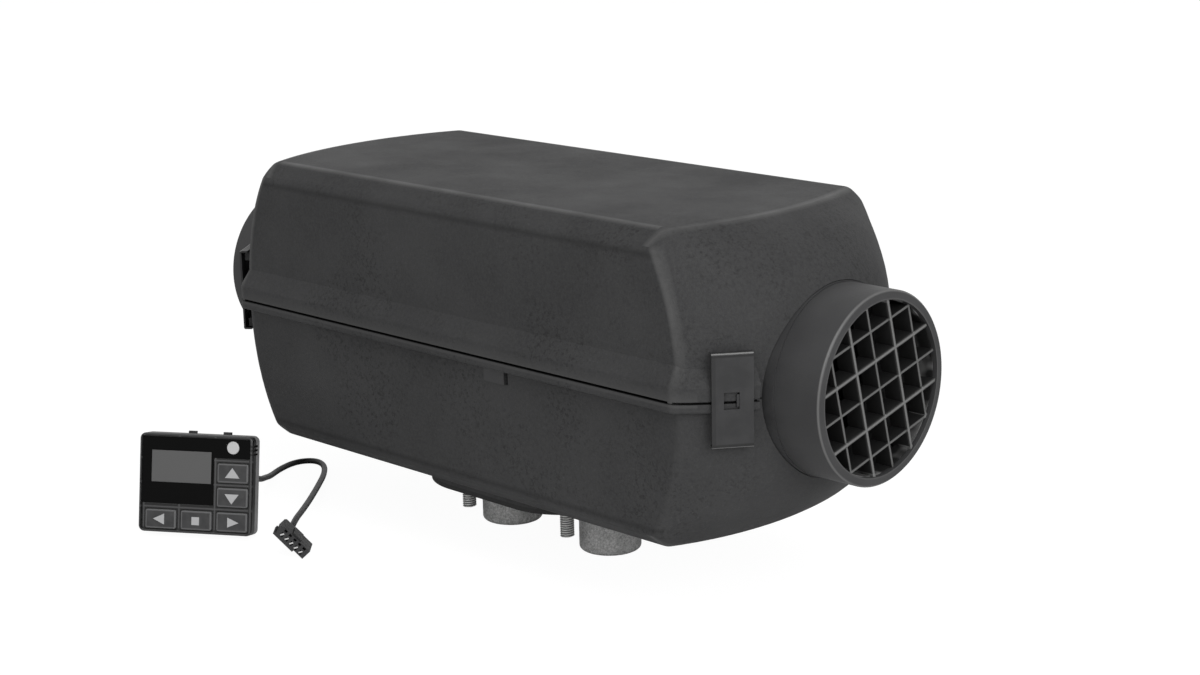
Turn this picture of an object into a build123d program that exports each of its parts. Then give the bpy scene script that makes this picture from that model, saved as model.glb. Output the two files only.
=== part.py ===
from build123d import *
import os
from math import atan2, cos, degrees, radians, sin, sqrt, tan

# A 2 kW diesel air heater with its wired controller, in millimetres.
# The heater is built about the middle of its casing on the seam plane, X towards the warm-air
# outlet and Z up, and is then moved so that the origin is the centre of the mounting face.

# ---- Driving dimensions: casing -------------------------------------------------------------
wall = 2.2                    # moulded casing wall
half_height = 62.0            # seam to the top face, and to the bottom face
side_half_width = 61.9        # middle to the long side walls
edge_band_width = 7.6         # long sloping band beside the top face, across
edge_band_height = 6.8        # the same band, downwards
end_apex = 158.5              # middle of the domed end, at the seam
end_apex_fall = 31.8          # how much shorter the end is at the top face
corner_fall_power = 2.2       # how late the corner falls away
end_fall_power = 3.66         # how late the end falls away
end_corner = 129.4            # corner of the end and the side wall, at the seam
end_corner_fall = 16.8        # how much shorter the corner is at the top face
edge_round = 6.0              # rounding of the end corners, the band and the top's end edges
flange_half_width = 66.3      # seam flange, along the sides
flange_arc_centre = 77.0      # seam flange, centre of its round ends
flange_arc_radius = 84.6
flange_corner_round = 5.0
flange_above = 6.3            # straight height of the flange over the seam
flange_flare = 7.2            # slope above it, back to the wall
flange_below = 4.0            # height of the flange under the seam
flange_top_round = 1.6
flange_low_round = 1.3
seam_gap = 0.8                # dark joint line under the upper casing
seam_gap_depth = 3.0
seam_gap_half_length = 127.5
seam_end_depth = 1.2            # shallower across the domed ends
seam_end_start = 129.3
lip_height = 2.6              # locating rim of the lower casing
lip_thickness = 1.4
lip_clearance = 0.35

# ---- Driving dimensions: hoods and grilles --------------------------------------------------
duct_radius = 37.5            # fits a 75 mm air hose
duct_wall = 2.8
duct_front = 175.2            # front plane of the ring
rim_width = 3.7               # front rim, radially
rim_depth = 2.0
rim_bevel = 0.8
hose_stop = 154.0             # shoulder that a pushed-on hose meets
hose_stop_step = 0.45
collar_width = 3.5            # collar that the casings grip
collar_length = 2.6
collar_back = 142.4           # where the collar starts
hood_clearance = 0.7          # round the ring, radially
collar_clearance = 0.2
saddle_width = 2.6            # ring of casing round the collar, radially
saddle_back = 139.6
flange_notch = 4.0            # dark notch between flange and ring
grille_turn = 14.5            # the crossed bars stand turned in the ring
grille_pitch = 11.8
grille_bar_depth = 8.0
thin_bar = 1.0
thick_bar = 1.4
thick_bar_proud = 0.5
grille_hoop = 1.2
grille_setback = 0.7          # behind the front plane
grille_clearance = 0.1

# ---- Driving dimensions: casing clips -------------------------------------------------------
clip_angle = 36.5             # place on the flange arc, from the X axis
clip_width = 15.8
clip_height = 36.0
clip_middle = 1.15            # height of its middle over the seam
clip_sheet = 0.8
clip_standoff = 0.5           # its tongue bears on the flange over this gap
clip_lip = 2.3                # how far the folded lips reach behind the flange face
clip_window_width = 5.9
clip_window_height = 6.4
clip_window_shift = 0.4       # along the flange, towards the hood
catch_width = 12.0
catch_height = 3.6
catch_set_in = 0.6            # catch face behind the flange face
catch_root = 7.5              # how deep the catch runs into the casing
catch_play = 0.25

# ---- Driving dimensions: heat exchanger and mounting ----------------------------------------
foot_x = 1.0                  # middle of the mounting foot, from the casing's middle
core_radius = 38.0
core_wall = 3.5
core_front = -34.0            # face towards the blower
core_end = 122.0
flange_radius = 44.0          # joint between blower and exchanger
core_flange_length = 8.0
fin_radius = 51.5
fin_thickness = 2.0
fin_count = 28
fin_start = -21.0
fin_end = 117.0
foot_length = 86.0
foot_width = 74.0
foot_corner = 14.0
foot_shoulder = 3.0           # rests on the inside of the lower casing
foot_clearance = 0.6
foot_thickness = 3.3
pedestal_length = 78.0
pedestal_width = 44.0
boss_length = 99.0            # raised pad under the lower casing
boss_width = 96.8
boss_corner = 29.0
boss_shift = 3.5
boss_drop = 4.0
gasket_thickness = 2.0
stub_spacing = 60.3
stub_radius = 13.2
stub_length = 27.45           # below the mounting face
stub_bore = 9.5
stub_round = 1.6
stub_seat_radius = 11.8       # spigot held in the foot
stub_seat_depth = 5.0
stud_spacing_x = 60.3
stud_spacing_y = 50.8
stud_radius = 3.0
stud_length = 16.0            # below the mounting face
stud_depth = 8.5              # screwed into the foot
stud_seat_radius = 2.7        # core of its thread in the foot
stud_tip = 0.9
screw_clearance = 0.02
port_radius = 7.0             # combustion-air passage
port_wall = 4.0
port_rise = 15.0              # its middle over the casing's inner bottom
fuel_pipe_radius = 2.5
fuel_pipe_bore = 1.25
fuel_pipe_seat = 3.2          # thicker end pressed into the foot
sleeve_room = 2.2             # free room in the gasket round studs and pipe
fuel_pipe_length = 14.0       # below the mounting face
fuel_pipe_depth = 10.0
fuel_pipe_x = -12.0
fuel_pipe_y = 22.0

# ---- Driving dimensions: burner -------------------------------------------------------------
gasket_sheet = 1.0
burner_plate = 3.0
burner_radius = 25.5
burner_wall = 1.5
burner_length = 62.0
burner_hole = 2.6
flame_tube_radius = 31.0
flame_tube_wall = 1.4
flame_tube_start = 5.0
flame_tube_end = 96.0
slip = 0.2                    # between nested burner tubes
plug_x = -12.0
plug_boss_radius = 9.0
plug_boss_top = 46.0
plug_radius = 5.0
plug_head = 7.0
plug_top = 55.5
plug_element = 2.2
screen_radius = 5.2
screen_wall = 0.8
plug_bore = 5.3
sensor_x = 26.0
sensor_pad = 42.0
sensor_size = (18.0, 11.0, 5.0)

# ---- Driving dimensions: blower, motor and electronics ----------------------------------------
blower_length = 24.0
chamber_radius = 31.0
blower_back_wall = 3.0
cover_sheet = 2.0
inner_wheel_radius = 28.0
inner_wheel_blades = 12
inner_wheel_gap = 2.0
inner_blade_height = 9.0
motor_radius = 25.0
motor_length = 44.0
motor_flange_radius = 30.0
motor_flange = 4.0
bearing_radius = 6.5
bearing_length = 6.0
shaft_radius = 2.5
running_clearance = 0.04
shaft_bore_gap = 1.0
fan_radius = 47.0
fan_hub_radius = 21.0
fan_length = 23.0
fan_blades = 9
fan_gap = 6.0                 # from the motor to the fan
fan_pitch = 34.0              # degrees that a blade turns along the axis
fan_blade = 1.8
blower_screw_circle = 39.0
blower_screw_radius = 2.5
blower_screw_head = 4.2
blower_screw_head_length = 4.0
unit_length = 44.0            # electronic control unit over the motor
unit_width = 72.0
unit_top = 55.0
unit_bottom = 18.0
unit_gap = 2.0                # from the blower housing
saddle_clearance = 0.3

# ---- Driving dimensions: cable outlets of the lower casing ----------------------------------
outlet_x = 30.5
outlet_width = 13.0
outlet_height = 6.2
plug_slit = 1.2               # open slit beside the blanking plug
outlet_inner_rim = 2.0
outlet_inner_thickness = 1.6
outlet_proud = 1.0

# ---- Driving dimensions: controller ---------------------------------------------------------
remote_width = 52.1
remote_height = 43.0
remote_front = 6.5            # depth of the front shell
remote_rim_depth = 1.5        # rim of the rear shell, as wide as the front shell
remote_rear = 6.5             # depth of the rear shell with its rim
remote_box_inset = 1.5        # the box behind the rim is smaller
remote_corner = 2.6
remote_wall = 1.2
remote_plate = 1.6            # thickness of the face
remote_rim = 1.1              # raised frame round the face
remote_face_drop = 0.7
remote_azimuth = 32.1         # turned from the heater's long side
remote_lean = 13.0            # it leans back on the ramps of its lower tabs
remote_x = -110.6             # middle of the face's lower edge
remote_y = -113.0
remote_tab = 1.0              # how far the tabs stand out
remote_tab_start = 8.6        # how far behind the face they start
window_left = 1.25
window_right = 50.6
window_top = 41.6
window_low = 12.5
window_step_x = 34.2
window_step_y = 33.2
window_thickness = 1.2
lcd_box = (5.5, 33.0, 21.8, 35.65)
lens_centre = (42.8, 37.9)
lens_radius = 2.8
key_width = 14.2
key_height = 8.4
key_columns = (10.3, 26.7, 43.1)
key_rows = (5.7, 16.35, 26.85)
key_proud = 0.9
key_travel = 0.8
key_clearance = 0.25
key_skirt = 0.8
key_round = 0.9
board_thickness = 1.4
board_back = 10.6
switch_size = 6.0
switch_gap = 0.3              # left under a key pressed home
cable_radius = 1.35
boot_radius = 2.7
boot_length = 8.0
boot_seat = 2.0               # cable held inside the boot's tip
boot_u = 42.0
boot_v = 24.7
connector_width = 16.0        # across the five ways
connector_height = 4.6
connector_depth = 10.0        # from the cable side to the mating side
connector_rail = 0.95         # latch rail beside it
connector_x = -65.7           # middle of its cable side
connector_y = -92.6
connector_facing = 45.0       # direction of the row of ways, seen from above
connector_lean = 47.8         # it leans on one long edge, turned up by this
connector_pins = 5
connector_entry = 3.0         # the cable enters off the middle
connector_seat = 1.5
connector_pitch = 2.7
terminal_width = 1.5
cord_gap = 0.3                # round the cable where it enters something

# ---- Worked out -----------------------------------------------------------------------------
top_inside = half_height - wall
mount_face = -(half_height + boss_drop + gasket_thickness)
ground = mount_face - stub_length
over_width = side_half_width + 6.0  # the end surfaces are drawn wider than the casing
far = 400.0                   # longer than anything
collar_radius = duct_radius + collar_width
hood_bore = duct_radius + hood_clearance
saddle_radius = collar_radius + collar_clearance + saddle_width
core_flange_back = core_front + core_flange_length
burner_face = core_front - gasket_sheet
blower_front = burner_face - burner_plate
blower_back = blower_front - blower_length
motor_back = blower_back - motor_length
fan_front = motor_back - fan_gap
shaft_front = fan_front - fan_length + 3.2
chamber_back = blower_back + blower_back_wall
shaft_back = blower_front - cover_sheet - 2.0
clip_base = Vector(
    flange_arc_centre + flange_arc_radius * cos(radians(clip_angle)),
    -flange_arc_radius * sin(radians(clip_angle)),
    0,
)
clip_top = clip_middle + clip_height / 2
clip_bottom = clip_middle - clip_height / 2
MIN = (Align.CENTER, Align.CENTER, Align.MIN)


# ---- Small helpers --------------------------------------------------------------------------
def rod_x(radius, x_start, x_end, y=0.0, z=0.0):
    """A cylinder along X."""
    return Pos(x_start, y, z) * Rot(0, 90, 0) * Cylinder(radius, x_end - x_start, align=MIN)


def rod_z(radius, z_start, z_end, x=0.0, y=0.0):
    """A cylinder along Z."""
    return Pos(x, y, z_start) * Cylinder(radius, z_end - z_start, align=MIN)


def block(x_low, x_high, y_low, y_high, z_low, z_high):
    """A box between two corners."""
    size = (x_high - x_low, y_high - y_low, z_high - z_low)
    return Pos(x_low, y_low, z_low) * Box(*size, align=(Align.MIN, Align.MIN, Align.MIN))


def rounded_plate(length, width, corner, z_low, z_high, x=0.0, y=0.0):
    """A plate with rounded corners, lying flat."""
    outline = Pos(x, y, z_low) * RectangleRounded(length, width, corner)
    return extrude(outline, amount=z_high - z_low)


def corners(spacing_x, spacing_y, x=0.0, y=0.0):
    """The four corners of a rectangle."""
    return [(x + i * spacing_x / 2, y + j * spacing_y / 2) for i in (-1, 1) for j in (-1, 1)]


def under(shape):
    """The same shape turned over, below the seam."""
    return mirror(shape, about=Plane.XY)


# ---- Casing ---------------------------------------------------------------------------------
def end_outline(height, inset):
    """Plan of the two domed ends at one height, wider than the casing."""
    rise = height / half_height
    lean = end_apex_fall * end_fall_power / half_height * rise ** (end_fall_power - 1)
    thickness = inset * sqrt(1 + lean**2)
    apex = end_apex - end_apex_fall * rise**end_fall_power
    bulge = apex - (end_corner - end_corner_fall * rise**corner_fall_power)
    radius = (side_half_width**2 + bulge**2) / (2 * bulge)
    centre = apex - radius
    apex -= thickness
    reach = centre + sqrt((radius - thickness) ** 2 - over_width**2)
    outline = Curve() + [
        ThreePointArc((reach, -over_width), (apex, 0), (reach, over_width)),
        Line((reach, over_width), (-reach, over_width)),
        ThreePointArc((-reach, over_width), (-apex, 0), (-reach, -over_width)),
        Line((-reach, -over_width), (reach, -over_width)),
    ]
    return Pos(0, 0, height) * make_face(outline)


def casing_form(inset=0.0):
    """Upper half of the casing as a solid, drawn smaller by the inset."""
    steps = (0.0, 0.22, 0.44, 0.62, 0.78, 0.9, 1.0)
    dome = loft([end_outline(step * half_height, inset) for step in steps])
    slope = atan2(edge_band_height, edge_band_width)
    side = side_half_width - inset
    top = half_height - inset
    band_top = side_half_width - edge_band_width - inset * tan(slope / 2)
    band_bottom = top - (side - band_top) * tan(slope)
    section = Polyline(
        (-side, 0), (side, 0), (side, band_bottom), (band_top, top),
        (-band_top, top), (-side, band_bottom), close=True,
    )
    bar = extrude(Plane.YZ * make_face(section), amount=far, both=True)
    return dome & bar


def rounded_casing_form():
    """The outer form with its corners, band and top edges rounded."""
    form = casing_form()
    sharp = [edge for edge in form.edges() if edge.bounding_box().max.Z > 1]
    return fillet(sharp, edge_round)


def flange_face(z, depth=0.0):
    """Plan of the seam flange."""
    corner_x = flange_arc_centre + sqrt(flange_arc_radius**2 - flange_half_width**2)
    tip = flange_arc_centre + flange_arc_radius
    outline = Curve() + [
        ThreePointArc((corner_x, -flange_half_width), (tip, 0), (corner_x, flange_half_width)),
        Line((corner_x, flange_half_width), (-corner_x, flange_half_width)),
        ThreePointArc((-corner_x, flange_half_width), (-tip, 0), (-corner_x, -flange_half_width)),
        Line((-corner_x, -flange_half_width), (corner_x, -flange_half_width)),
    ]
    face = make_face(outline)
    face = fillet(face.vertices(), flange_corner_round)
    if depth:
        face = offset(face, amount=-depth)
    return Pos(0, 0, z) * face


def seam_groove():
    """The joint line: a slot along the long sides, and a shallower one across the ends."""
    whole = extrude(flange_face(0), amount=seam_gap)
    sides = whole - extrude(flange_face(0, depth=seam_gap_depth), amount=seam_gap)
    sides &= block(-seam_gap_half_length, seam_gap_half_length, -far, far, 0, seam_gap)
    ends = whole - extrude(flange_face(0, depth=seam_end_depth), amount=seam_gap)
    ends -= block(-seam_end_start, seam_end_start, -far, far, 0, seam_gap)
    return sides + ends


def hood_saddle():
    """Ring of casing that grips the collar of the outlet hood, before it is cut in half."""
    ring = rod_x(saddle_radius, saddle_back, end_apex)
    ring -= rod_x(hood_bore, saddle_back, end_apex)
    ring -= rod_x(
        collar_radius + collar_clearance,
        collar_back - collar_clearance,
        collar_back + collar_length + collar_clearance,
    )
    return ring


def both_ends(shape):
    """A shape and its mirror image at the other end."""
    return shape + mirror(shape, about=Plane.YZ)


def clip_plane(sign_x, sign_y):
    """Frame of one clip: X outwards, Y along the flange, Z up, on the flange face."""
    angle = atan2(sign_y * sin(radians(clip_angle)), sign_x * cos(radians(clip_angle)))
    origin = (sign_x * clip_base.X, sign_y * abs(clip_base.Y), 0)
    return Plane(origin=origin, x_dir=(cos(angle), sin(angle), 0), z_dir=(0, 0, 1))


def clip_catches(z_low, z_high):
    """Ledges behind the clips that their folded lips hook over."""
    ledge = block(-catch_root, -catch_set_in, -catch_width / 2, catch_width / 2, z_low, z_high)
    return [clip_plane(i, j) * ledge for i in (-1, 1) for j in (-1, 1)]


def seam_band(height, flare, rounding):
    """The flange beside the seam, with its outer edge rounded."""
    band = extrude(flange_face(0), amount=height)
    if flare:
        slope = degrees(atan2(flange_half_width - side_half_width, flare))
        band += extrude(flange_face(height), amount=flare, taper=slope)
    rim = [
        edge for edge in band.edges()
        if abs(edge.bounding_box().min.Z - height) < 0.01
        and abs(edge.bounding_box().max.Z - height) < 0.01
    ]
    return fillet(rim, rounding)


def casing_half(band, catch_low, catch_high):
    """One half of the casing above the seam, with its flange, saddles and catches."""
    outer = rounded_casing_form()
    inner = casing_form(wall)
    shell = outer - inner
    band -= inner
    band -= rod_x(duct_radius + flange_notch, -far, far)
    shell += band
    for ledge in clip_catches(catch_low, catch_high):
        shell += ledge - inner
    saddles = both_ends(hood_saddle()) & casing_form(wall / 2)
    shell += saddles
    shell -= both_ends(rod_x(hood_bore, saddle_back, far))
    shell -= both_ends(rod_x(
        collar_radius + collar_clearance,
        collar_back - collar_clearance,
        collar_back + collar_length + collar_clearance,
    ))
    return shell


def upper_casing():
    """Upper shell: the locating rim of the lower one fits inside it."""
    high = clip_top - clip_sheet - catch_play
    band = seam_band(flange_above, flange_flare, flange_top_round)
    shell = casing_half(band, high - catch_height, high)
    return shell - seam_groove()


def outlet_window(z_top):
    """Cable outlet of the lower casing, through the wall on one side."""
    return block(
        outlet_x - outlet_width / 2, outlet_x + outlet_width / 2,
        -side_half_width - 2 * wall, -side_half_width + 2 * wall,
        z_top - outlet_height, z_top,
    )


def lower_casing():
    """Lower shell with the mounting pad, its opening, cable outlets and locating rim."""
    high = -clip_bottom - clip_sheet - catch_play
    band = seam_band(flange_below, 0, flange_low_round)
    shell = under(casing_half(band, high - catch_height, high))
    pad_top = -half_height + wall
    shell += rounded_plate(
        boss_length, boss_width, boss_corner, -half_height - boss_drop, pad_top - 0.5,
        x=foot_x + boss_shift,
    )
    shell -= rounded_plate(
        foot_length + 2 * foot_clearance, foot_width + 2 * foot_clearance,
        foot_corner + foot_clearance, -far, pad_top + 1, x=foot_x,
    )
    rim_inset = wall + lip_clearance
    rim = casing_form(rim_inset) - casing_form(rim_inset + lip_thickness)
    rim = (rim & block(-far, far, -far, far, 0, lip_height))
    foot = under(casing_form(wall - 0.5) - casing_form(rim_inset + lip_thickness))
    rim += foot & block(-far, far, -far, far, -lip_height, 0)
    rim -= rod_x(saddle_radius + lip_clearance, -far, far)
    shell += rim
    window = outlet_window(-flange_below)
    shell -= window
    shell -= mirror(window, about=Plane.XZ)
    return shell


# ---- Hoods and grilles ----------------------------------------------------------------------
def outlet_hood():
    """Round hose stub: tube, collar in the casings' saddle, rim in front."""
    inner = duct_radius - duct_wall
    stop = duct_radius + hose_stop_step
    profile = Polyline(
        (collar_back, inner), (collar_back, collar_radius),
        (collar_back + collar_length, collar_radius), (collar_back + collar_length, stop),
        (hose_stop, stop), (hose_stop, duct_radius),
        (duct_front - rim_bevel, duct_radius), (duct_front, duct_radius - rim_bevel),
        (duct_front, duct_radius - rim_width), (duct_front - rim_depth, duct_radius - rim_width),
        (duct_front - rim_depth, inner), close=True,
    )
    return revolve(Plane.XZ * make_face(profile), Axis.X)


def outlet_grille():
    """Egg-crate guard: a hoop with five bars each way, the second and fourth stronger."""
    outer = duct_radius - duct_wall - grille_clearance
    back = duct_front - grille_setback - grille_bar_depth
    front = duct_front - grille_setback
    seat = duct_front - rim_depth - grille_clearance
    bars = Part()
    for index in range(-2, 3):
        strong = index % 2 != 0
        thick = thick_bar if strong else thin_bar
        face = front if strong else front - thick_bar_proud
        y = index * grille_pitch
        bars += block(back, face, y - thick / 2, y + thick / 2, -outer, outer)
        bars += block(back, face, -outer, outer, y - thick / 2, y + thick / 2)
    bars = Rot(grille_turn, 0, 0) * bars
    inside_rim = rod_x(duct_radius - rim_width - grille_clearance, back, duct_front)
    inside_tube = rod_x(outer, back, seat)
    bars &= inside_rim + inside_tube
    hoop = rod_x(outer, back, seat) - rod_x(outer - grille_hoop, back, seat)
    return bars + hoop


def clip_local():
    """One spring clip in its own frame: plate, folded lips and the tongue that bears."""
    inner = clip_standoff
    outer = inner + clip_sheet
    half = clip_width / 2
    plate = block(inner, outer, -half, half, clip_bottom, clip_top)
    lips = block(-clip_lip, outer, -half, half, clip_top - clip_sheet, clip_top)
    lips += block(-clip_lip, outer, -half, half, clip_bottom, clip_bottom + clip_sheet)
    plate += lips
    folds = [
        edge for edge in plate.edges().filter_by(Axis.Y)
        if abs(edge.center().X - outer) < 0.01
    ]
    plate = fillet(folds, clip_sheet * 0.9)
    left = clip_window_shift - clip_window_width / 2
    low = clip_middle - clip_window_height / 2
    high = low + clip_window_height
    window = block(-far, far, left, left + clip_window_width, low, high)
    tongue = block(inner - 0.4, outer - 0.3, left - 0.4, left + 1.0, low + 0.9, high - 0.9)
    return plate - window + tongue


def casing_clip(sign_x, sign_y):
    """A spring clip at one end corner, hooked over the catches of both casings."""
    clip = clip_local()
    if sign_x != sign_y:
        clip = mirror(clip, about=Plane.XZ)
    return clip_plane(sign_x, sign_y) * clip


# ---- Heat exchanger and mounting ------------------------------------------------------------
def stub_places():
    """Intake stub near the blower, exhaust stub behind it."""
    return foot_x - stub_spacing / 2, foot_x + stub_spacing / 2


def port_z():
    """Height of the air passage between blower and exchanger."""
    return port_rise - top_inside


def port_lug(x_start, x_end):
    """Round lug for the air passage, under a flange."""
    return rod_x(port_radius + port_wall, x_start, x_end, z=port_z())


def port_hole(x_start, x_end):
    """The air passage itself."""
    return rod_x(port_radius, x_start, x_end, z=port_z())


def heat_exchanger():
    """Finned aluminium casting with its foot, gas stubs, plug boss and sensor pad."""
    core = rod_x(core_radius, core_front, core_end)
    core = fillet(core.edges().filter_by(GeomType.CIRCLE).sort_by(Axis.X)[-1], 16)
    core += rod_x(flange_radius, core_front, core_flange_back)
    fins = Part()
    for index in range(fin_count):
        angle = 360.0 * (index + 0.5) / fin_count
        fin = block(
            fin_start, fin_end, -fin_thickness / 2, fin_thickness / 2, core_radius - 3, fin_radius
        )
        top_edge = fin.edges().filter_by(Axis.Y).sort_by(Axis.Z)[-2:]
        fin = chamfer(top_edge, 8.0)
        fins += Rot(angle, 0, 0) * fin
    fins -= rod_z(plug_boss_radius + 3.0, core_radius, far, x=plug_x)
    length, width, height = sensor_size
    fins -= block(
        sensor_x - length / 2 - 5, sensor_x + length / 2 + 5,
        -width / 2 - 5, width / 2 + 5, core_radius, far,
    )
    core += fins
    core += rod_z(plug_boss_radius, core_radius - 3, plug_boss_top, x=plug_x)
    core += block(
        sensor_x - length / 2, sensor_x + length / 2, -width / 2, width / 2,
        core_radius - 3, sensor_pad,
    )
    intake, exhaust = stub_places()
    foot_low = -half_height - boss_drop
    shoulder_low = -top_inside
    core += block(
        core_front, core_front + pedestal_length, -pedestal_width / 2, pedestal_width / 2,
        shoulder_low, -core_radius / 2,
    )
    core += rounded_plate(
        foot_length, foot_width, foot_corner, foot_low, shoulder_low + foot_thickness, x=foot_x
    )
    core += rounded_plate(
        foot_length + 2 * foot_shoulder, foot_width + 2 * foot_shoulder,
        foot_corner + foot_shoulder, shoulder_low, shoulder_low + foot_thickness, x=foot_x,
    )
    core += port_lug(core_front, core_flange_back)
    core -= rod_x(core_radius - core_wall, core_front, core_end - 8)
    core -= rod_z(stub_bore, foot_low, -core_radius + 2 * core_wall, x=exhaust)
    core -= rod_z(stub_bore, foot_low, port_z(), x=intake)
    for x in (intake, exhaust):
        core -= rod_z(stub_seat_radius + screw_clearance, foot_low, foot_low + stub_seat_depth, x)
    core -= port_hole(core_front, intake)
    for x, y in corners(stud_spacing_x, stud_spacing_y, x=foot_x):
        core -= rod_z(stud_seat_radius + screw_clearance, foot_low, foot_low + stud_depth, x, y)
    core -= rod_z(
        fuel_pipe_seat + screw_clearance, foot_low, foot_low + fuel_pipe_depth,
        fuel_pipe_x, fuel_pipe_y,
    )
    core -= rod_z(plug_bore, 0, far, x=plug_x) & rod_z(plug_bore, core_radius - 8, far, x=plug_x)
    for x, y, z in blower_screw_places():
        core -= rod_x(blower_screw_radius + screw_clearance, core_front, core_flange_back, y, z)
    return core


def gas_stub(x):
    """Round cast stub under the foot, with a spigot in the foot and a gas bore."""
    foot_low = -half_height - boss_drop
    stub = rod_z(stub_radius, ground, foot_low, x=x)
    rim = stub.edges().filter_by(GeomType.CIRCLE).sort_by(Axis.Z)[0]
    stub = fillet(rim, stub_round)
    seat_top = foot_low + stub_seat_depth
    stub += rod_z(stub_seat_radius, foot_low - 1, seat_top, x=x)
    return stub - rod_z(stub_bore, ground, seat_top, x=x)


def mounting_gasket():
    """Rubber gasket under the foot and pad, pierced for stubs, studs and fuel pipe."""
    top = -half_height - boss_drop
    plate = rounded_plate(
        boss_length, boss_width, boss_corner, mount_face, top, x=foot_x + boss_shift
    )
    for x in stub_places():
        plate -= rod_z(stub_radius + foot_clearance, mount_face, top, x=x)
    for x, y in corners(stud_spacing_x, stud_spacing_y, x=foot_x):
        plate -= rod_z(stud_radius + sleeve_room, mount_face, top, x, y)
    plate -= rod_z(fuel_pipe_radius + sleeve_room, mount_face, top, fuel_pipe_x, fuel_pipe_y)
    return plate


def mounting_studs():
    """Four studs screwed into the foot."""
    foot_low = -half_height - boss_drop
    studs = []
    for x, y in corners(stud_spacing_x, stud_spacing_y, x=foot_x):
        stud = rod_z(stud_radius, mount_face - stud_length, foot_low, x, y)
        tip = stud.edges().filter_by(GeomType.CIRCLE).sort_by(Axis.Z)[0]
        seat = rod_z(stud_seat_radius, foot_low - 1, foot_low + stud_depth - 0.3, x, y)
        studs.append(chamfer(tip, stud_tip) + seat)
    return Compound(children=studs)


def fuel_inlet_pipe():
    """Steel nipple pressed into the foot, for the fuel hose."""
    top = -half_height - boss_drop + fuel_pipe_depth - 0.3
    low = mount_face - fuel_pipe_length
    foot_low = -half_height - boss_drop
    pipe = rod_z(fuel_pipe_radius, low, foot_low, fuel_pipe_x, fuel_pipe_y)
    tip = pipe.edges().filter_by(GeomType.CIRCLE).sort_by(Axis.Z)[0]
    pipe = chamfer(tip, 0.5)
    pipe += rod_z(fuel_pipe_seat, foot_low, top, fuel_pipe_x, fuel_pipe_y)
    return pipe - rod_z(fuel_pipe_bore, low, top, fuel_pipe_x, fuel_pipe_y)


# ---- Burner ---------------------------------------------------------------------------------
def blower_screw_places():
    """Screws that clamp blower, burner and exchanger, on a circle."""
    places = []
    for quarter in range(4):
        angle = radians(45 + 90 * quarter)
        places.append((0, blower_screw_circle * cos(angle), blower_screw_circle * sin(angle)))
    return places


def burner_gasket():
    """Ring gasket between burner plate and exchanger."""
    ring = rod_x(flange_radius, burner_face, core_front) + port_lug(burner_face, core_front)
    ring -= rod_x(core_radius - core_wall, burner_face, core_front)
    ring -= port_hole(burner_face, core_front)
    for x, y, z in blower_screw_places():
        ring -= rod_x(blower_screw_radius + 0.3, burner_face, core_front, y, z)
    return ring


def combustion_chamber():
    """Burner plate with its chamber tube, drilled for air in three rings."""
    tube_end = burner_face + burner_length
    chamber = rod_x(flange_radius, blower_front, burner_face)
    chamber += port_lug(blower_front, burner_face)
    chamber -= port_hole(blower_front, burner_face)
    chamber += rod_x(burner_radius, burner_face, tube_end)
    chamber -= rod_x(burner_radius - burner_wall, burner_face, tube_end)
    chamber -= rod_x(shaft_radius * 3, blower_front, burner_face)
    for ring in range(3):
        x = burner_face + 34 + ring * 9
        for index in range(8):
            hole = rod_z(burner_hole, 0, burner_radius + 1, x=x)
            chamber -= Rot(45.0 * index + 22.5 * (ring % 2), 0, 0) * hole
    chamber -= rod_z(plug_bore, 0, burner_radius + 1, x=plug_x)
    for x, y, z in blower_screw_places():
        chamber -= rod_x(blower_screw_radius + 0.3, blower_front, burner_face, y, z)
    return chamber


def flame_tube():
    """Sheet tube that carries the flame to the closed end, slipped on the burner."""
    tube = rod_x(flame_tube_radius, flame_tube_start, flame_tube_end)
    tube -= rod_x(
        flame_tube_radius - flame_tube_wall, flame_tube_start + flame_tube_wall, flame_tube_end
    )
    return tube - rod_x(burner_radius + slip, flame_tube_start, flame_tube_end)


def glow_plug():
    """Glow plug: element, body in the boss, hexagon and terminal."""
    hexagon = extrude(
        Pos(plug_x, 0, plug_boss_top) * RegularPolygon(plug_head, 6), amount=4.0
    )
    plug = hexagon + rod_z(plug_radius, plug_boss_top - 8, plug_boss_top, x=plug_x)
    plug += rod_z(plug_element, burner_radius - 7, plug_boss_top, x=plug_x)
    plug += rod_z(plug_radius * 0.6, plug_boss_top, plug_boss_top + 6.5, x=plug_x)
    return plug + rod_z(1.6, plug_boss_top, plug_top, x=plug_x)


def atomizer_screen():
    """Gauze sleeve round the glow element, in the plug bore."""
    low = burner_radius + slip
    high = plug_boss_top - 8.3
    sleeve = rod_z(screen_radius, low, high, x=plug_x)
    return sleeve - rod_z(screen_radius - screen_wall, low, high, x=plug_x)


def temperature_sensor():
    """Overheat sensor, flat on its pad."""
    length, width, height = sensor_size
    body = block(
        sensor_x - length / 2 + 3, sensor_x + length / 2 - 3, -width / 2 + 1.5, width / 2 - 1.5,
        sensor_pad, sensor_pad + height,
    )
    return fillet(body.edges().filter_by(Axis.Z), 1.5)


def sensor_clip():
    """Bent strip that presses the sensor on its pad."""
    length, width, height = sensor_size
    sheet = 0.8
    top = sensor_pad + height
    outer = width / 2 + sheet
    low = sensor_pad - 2.5
    strip = block(sensor_x - 2.5, sensor_x + 2.5, -outer, outer, low, top + sheet)
    return strip - block(sensor_x - 2.5, sensor_x + 2.5, -width / 2, width / 2, low, top)


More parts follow.
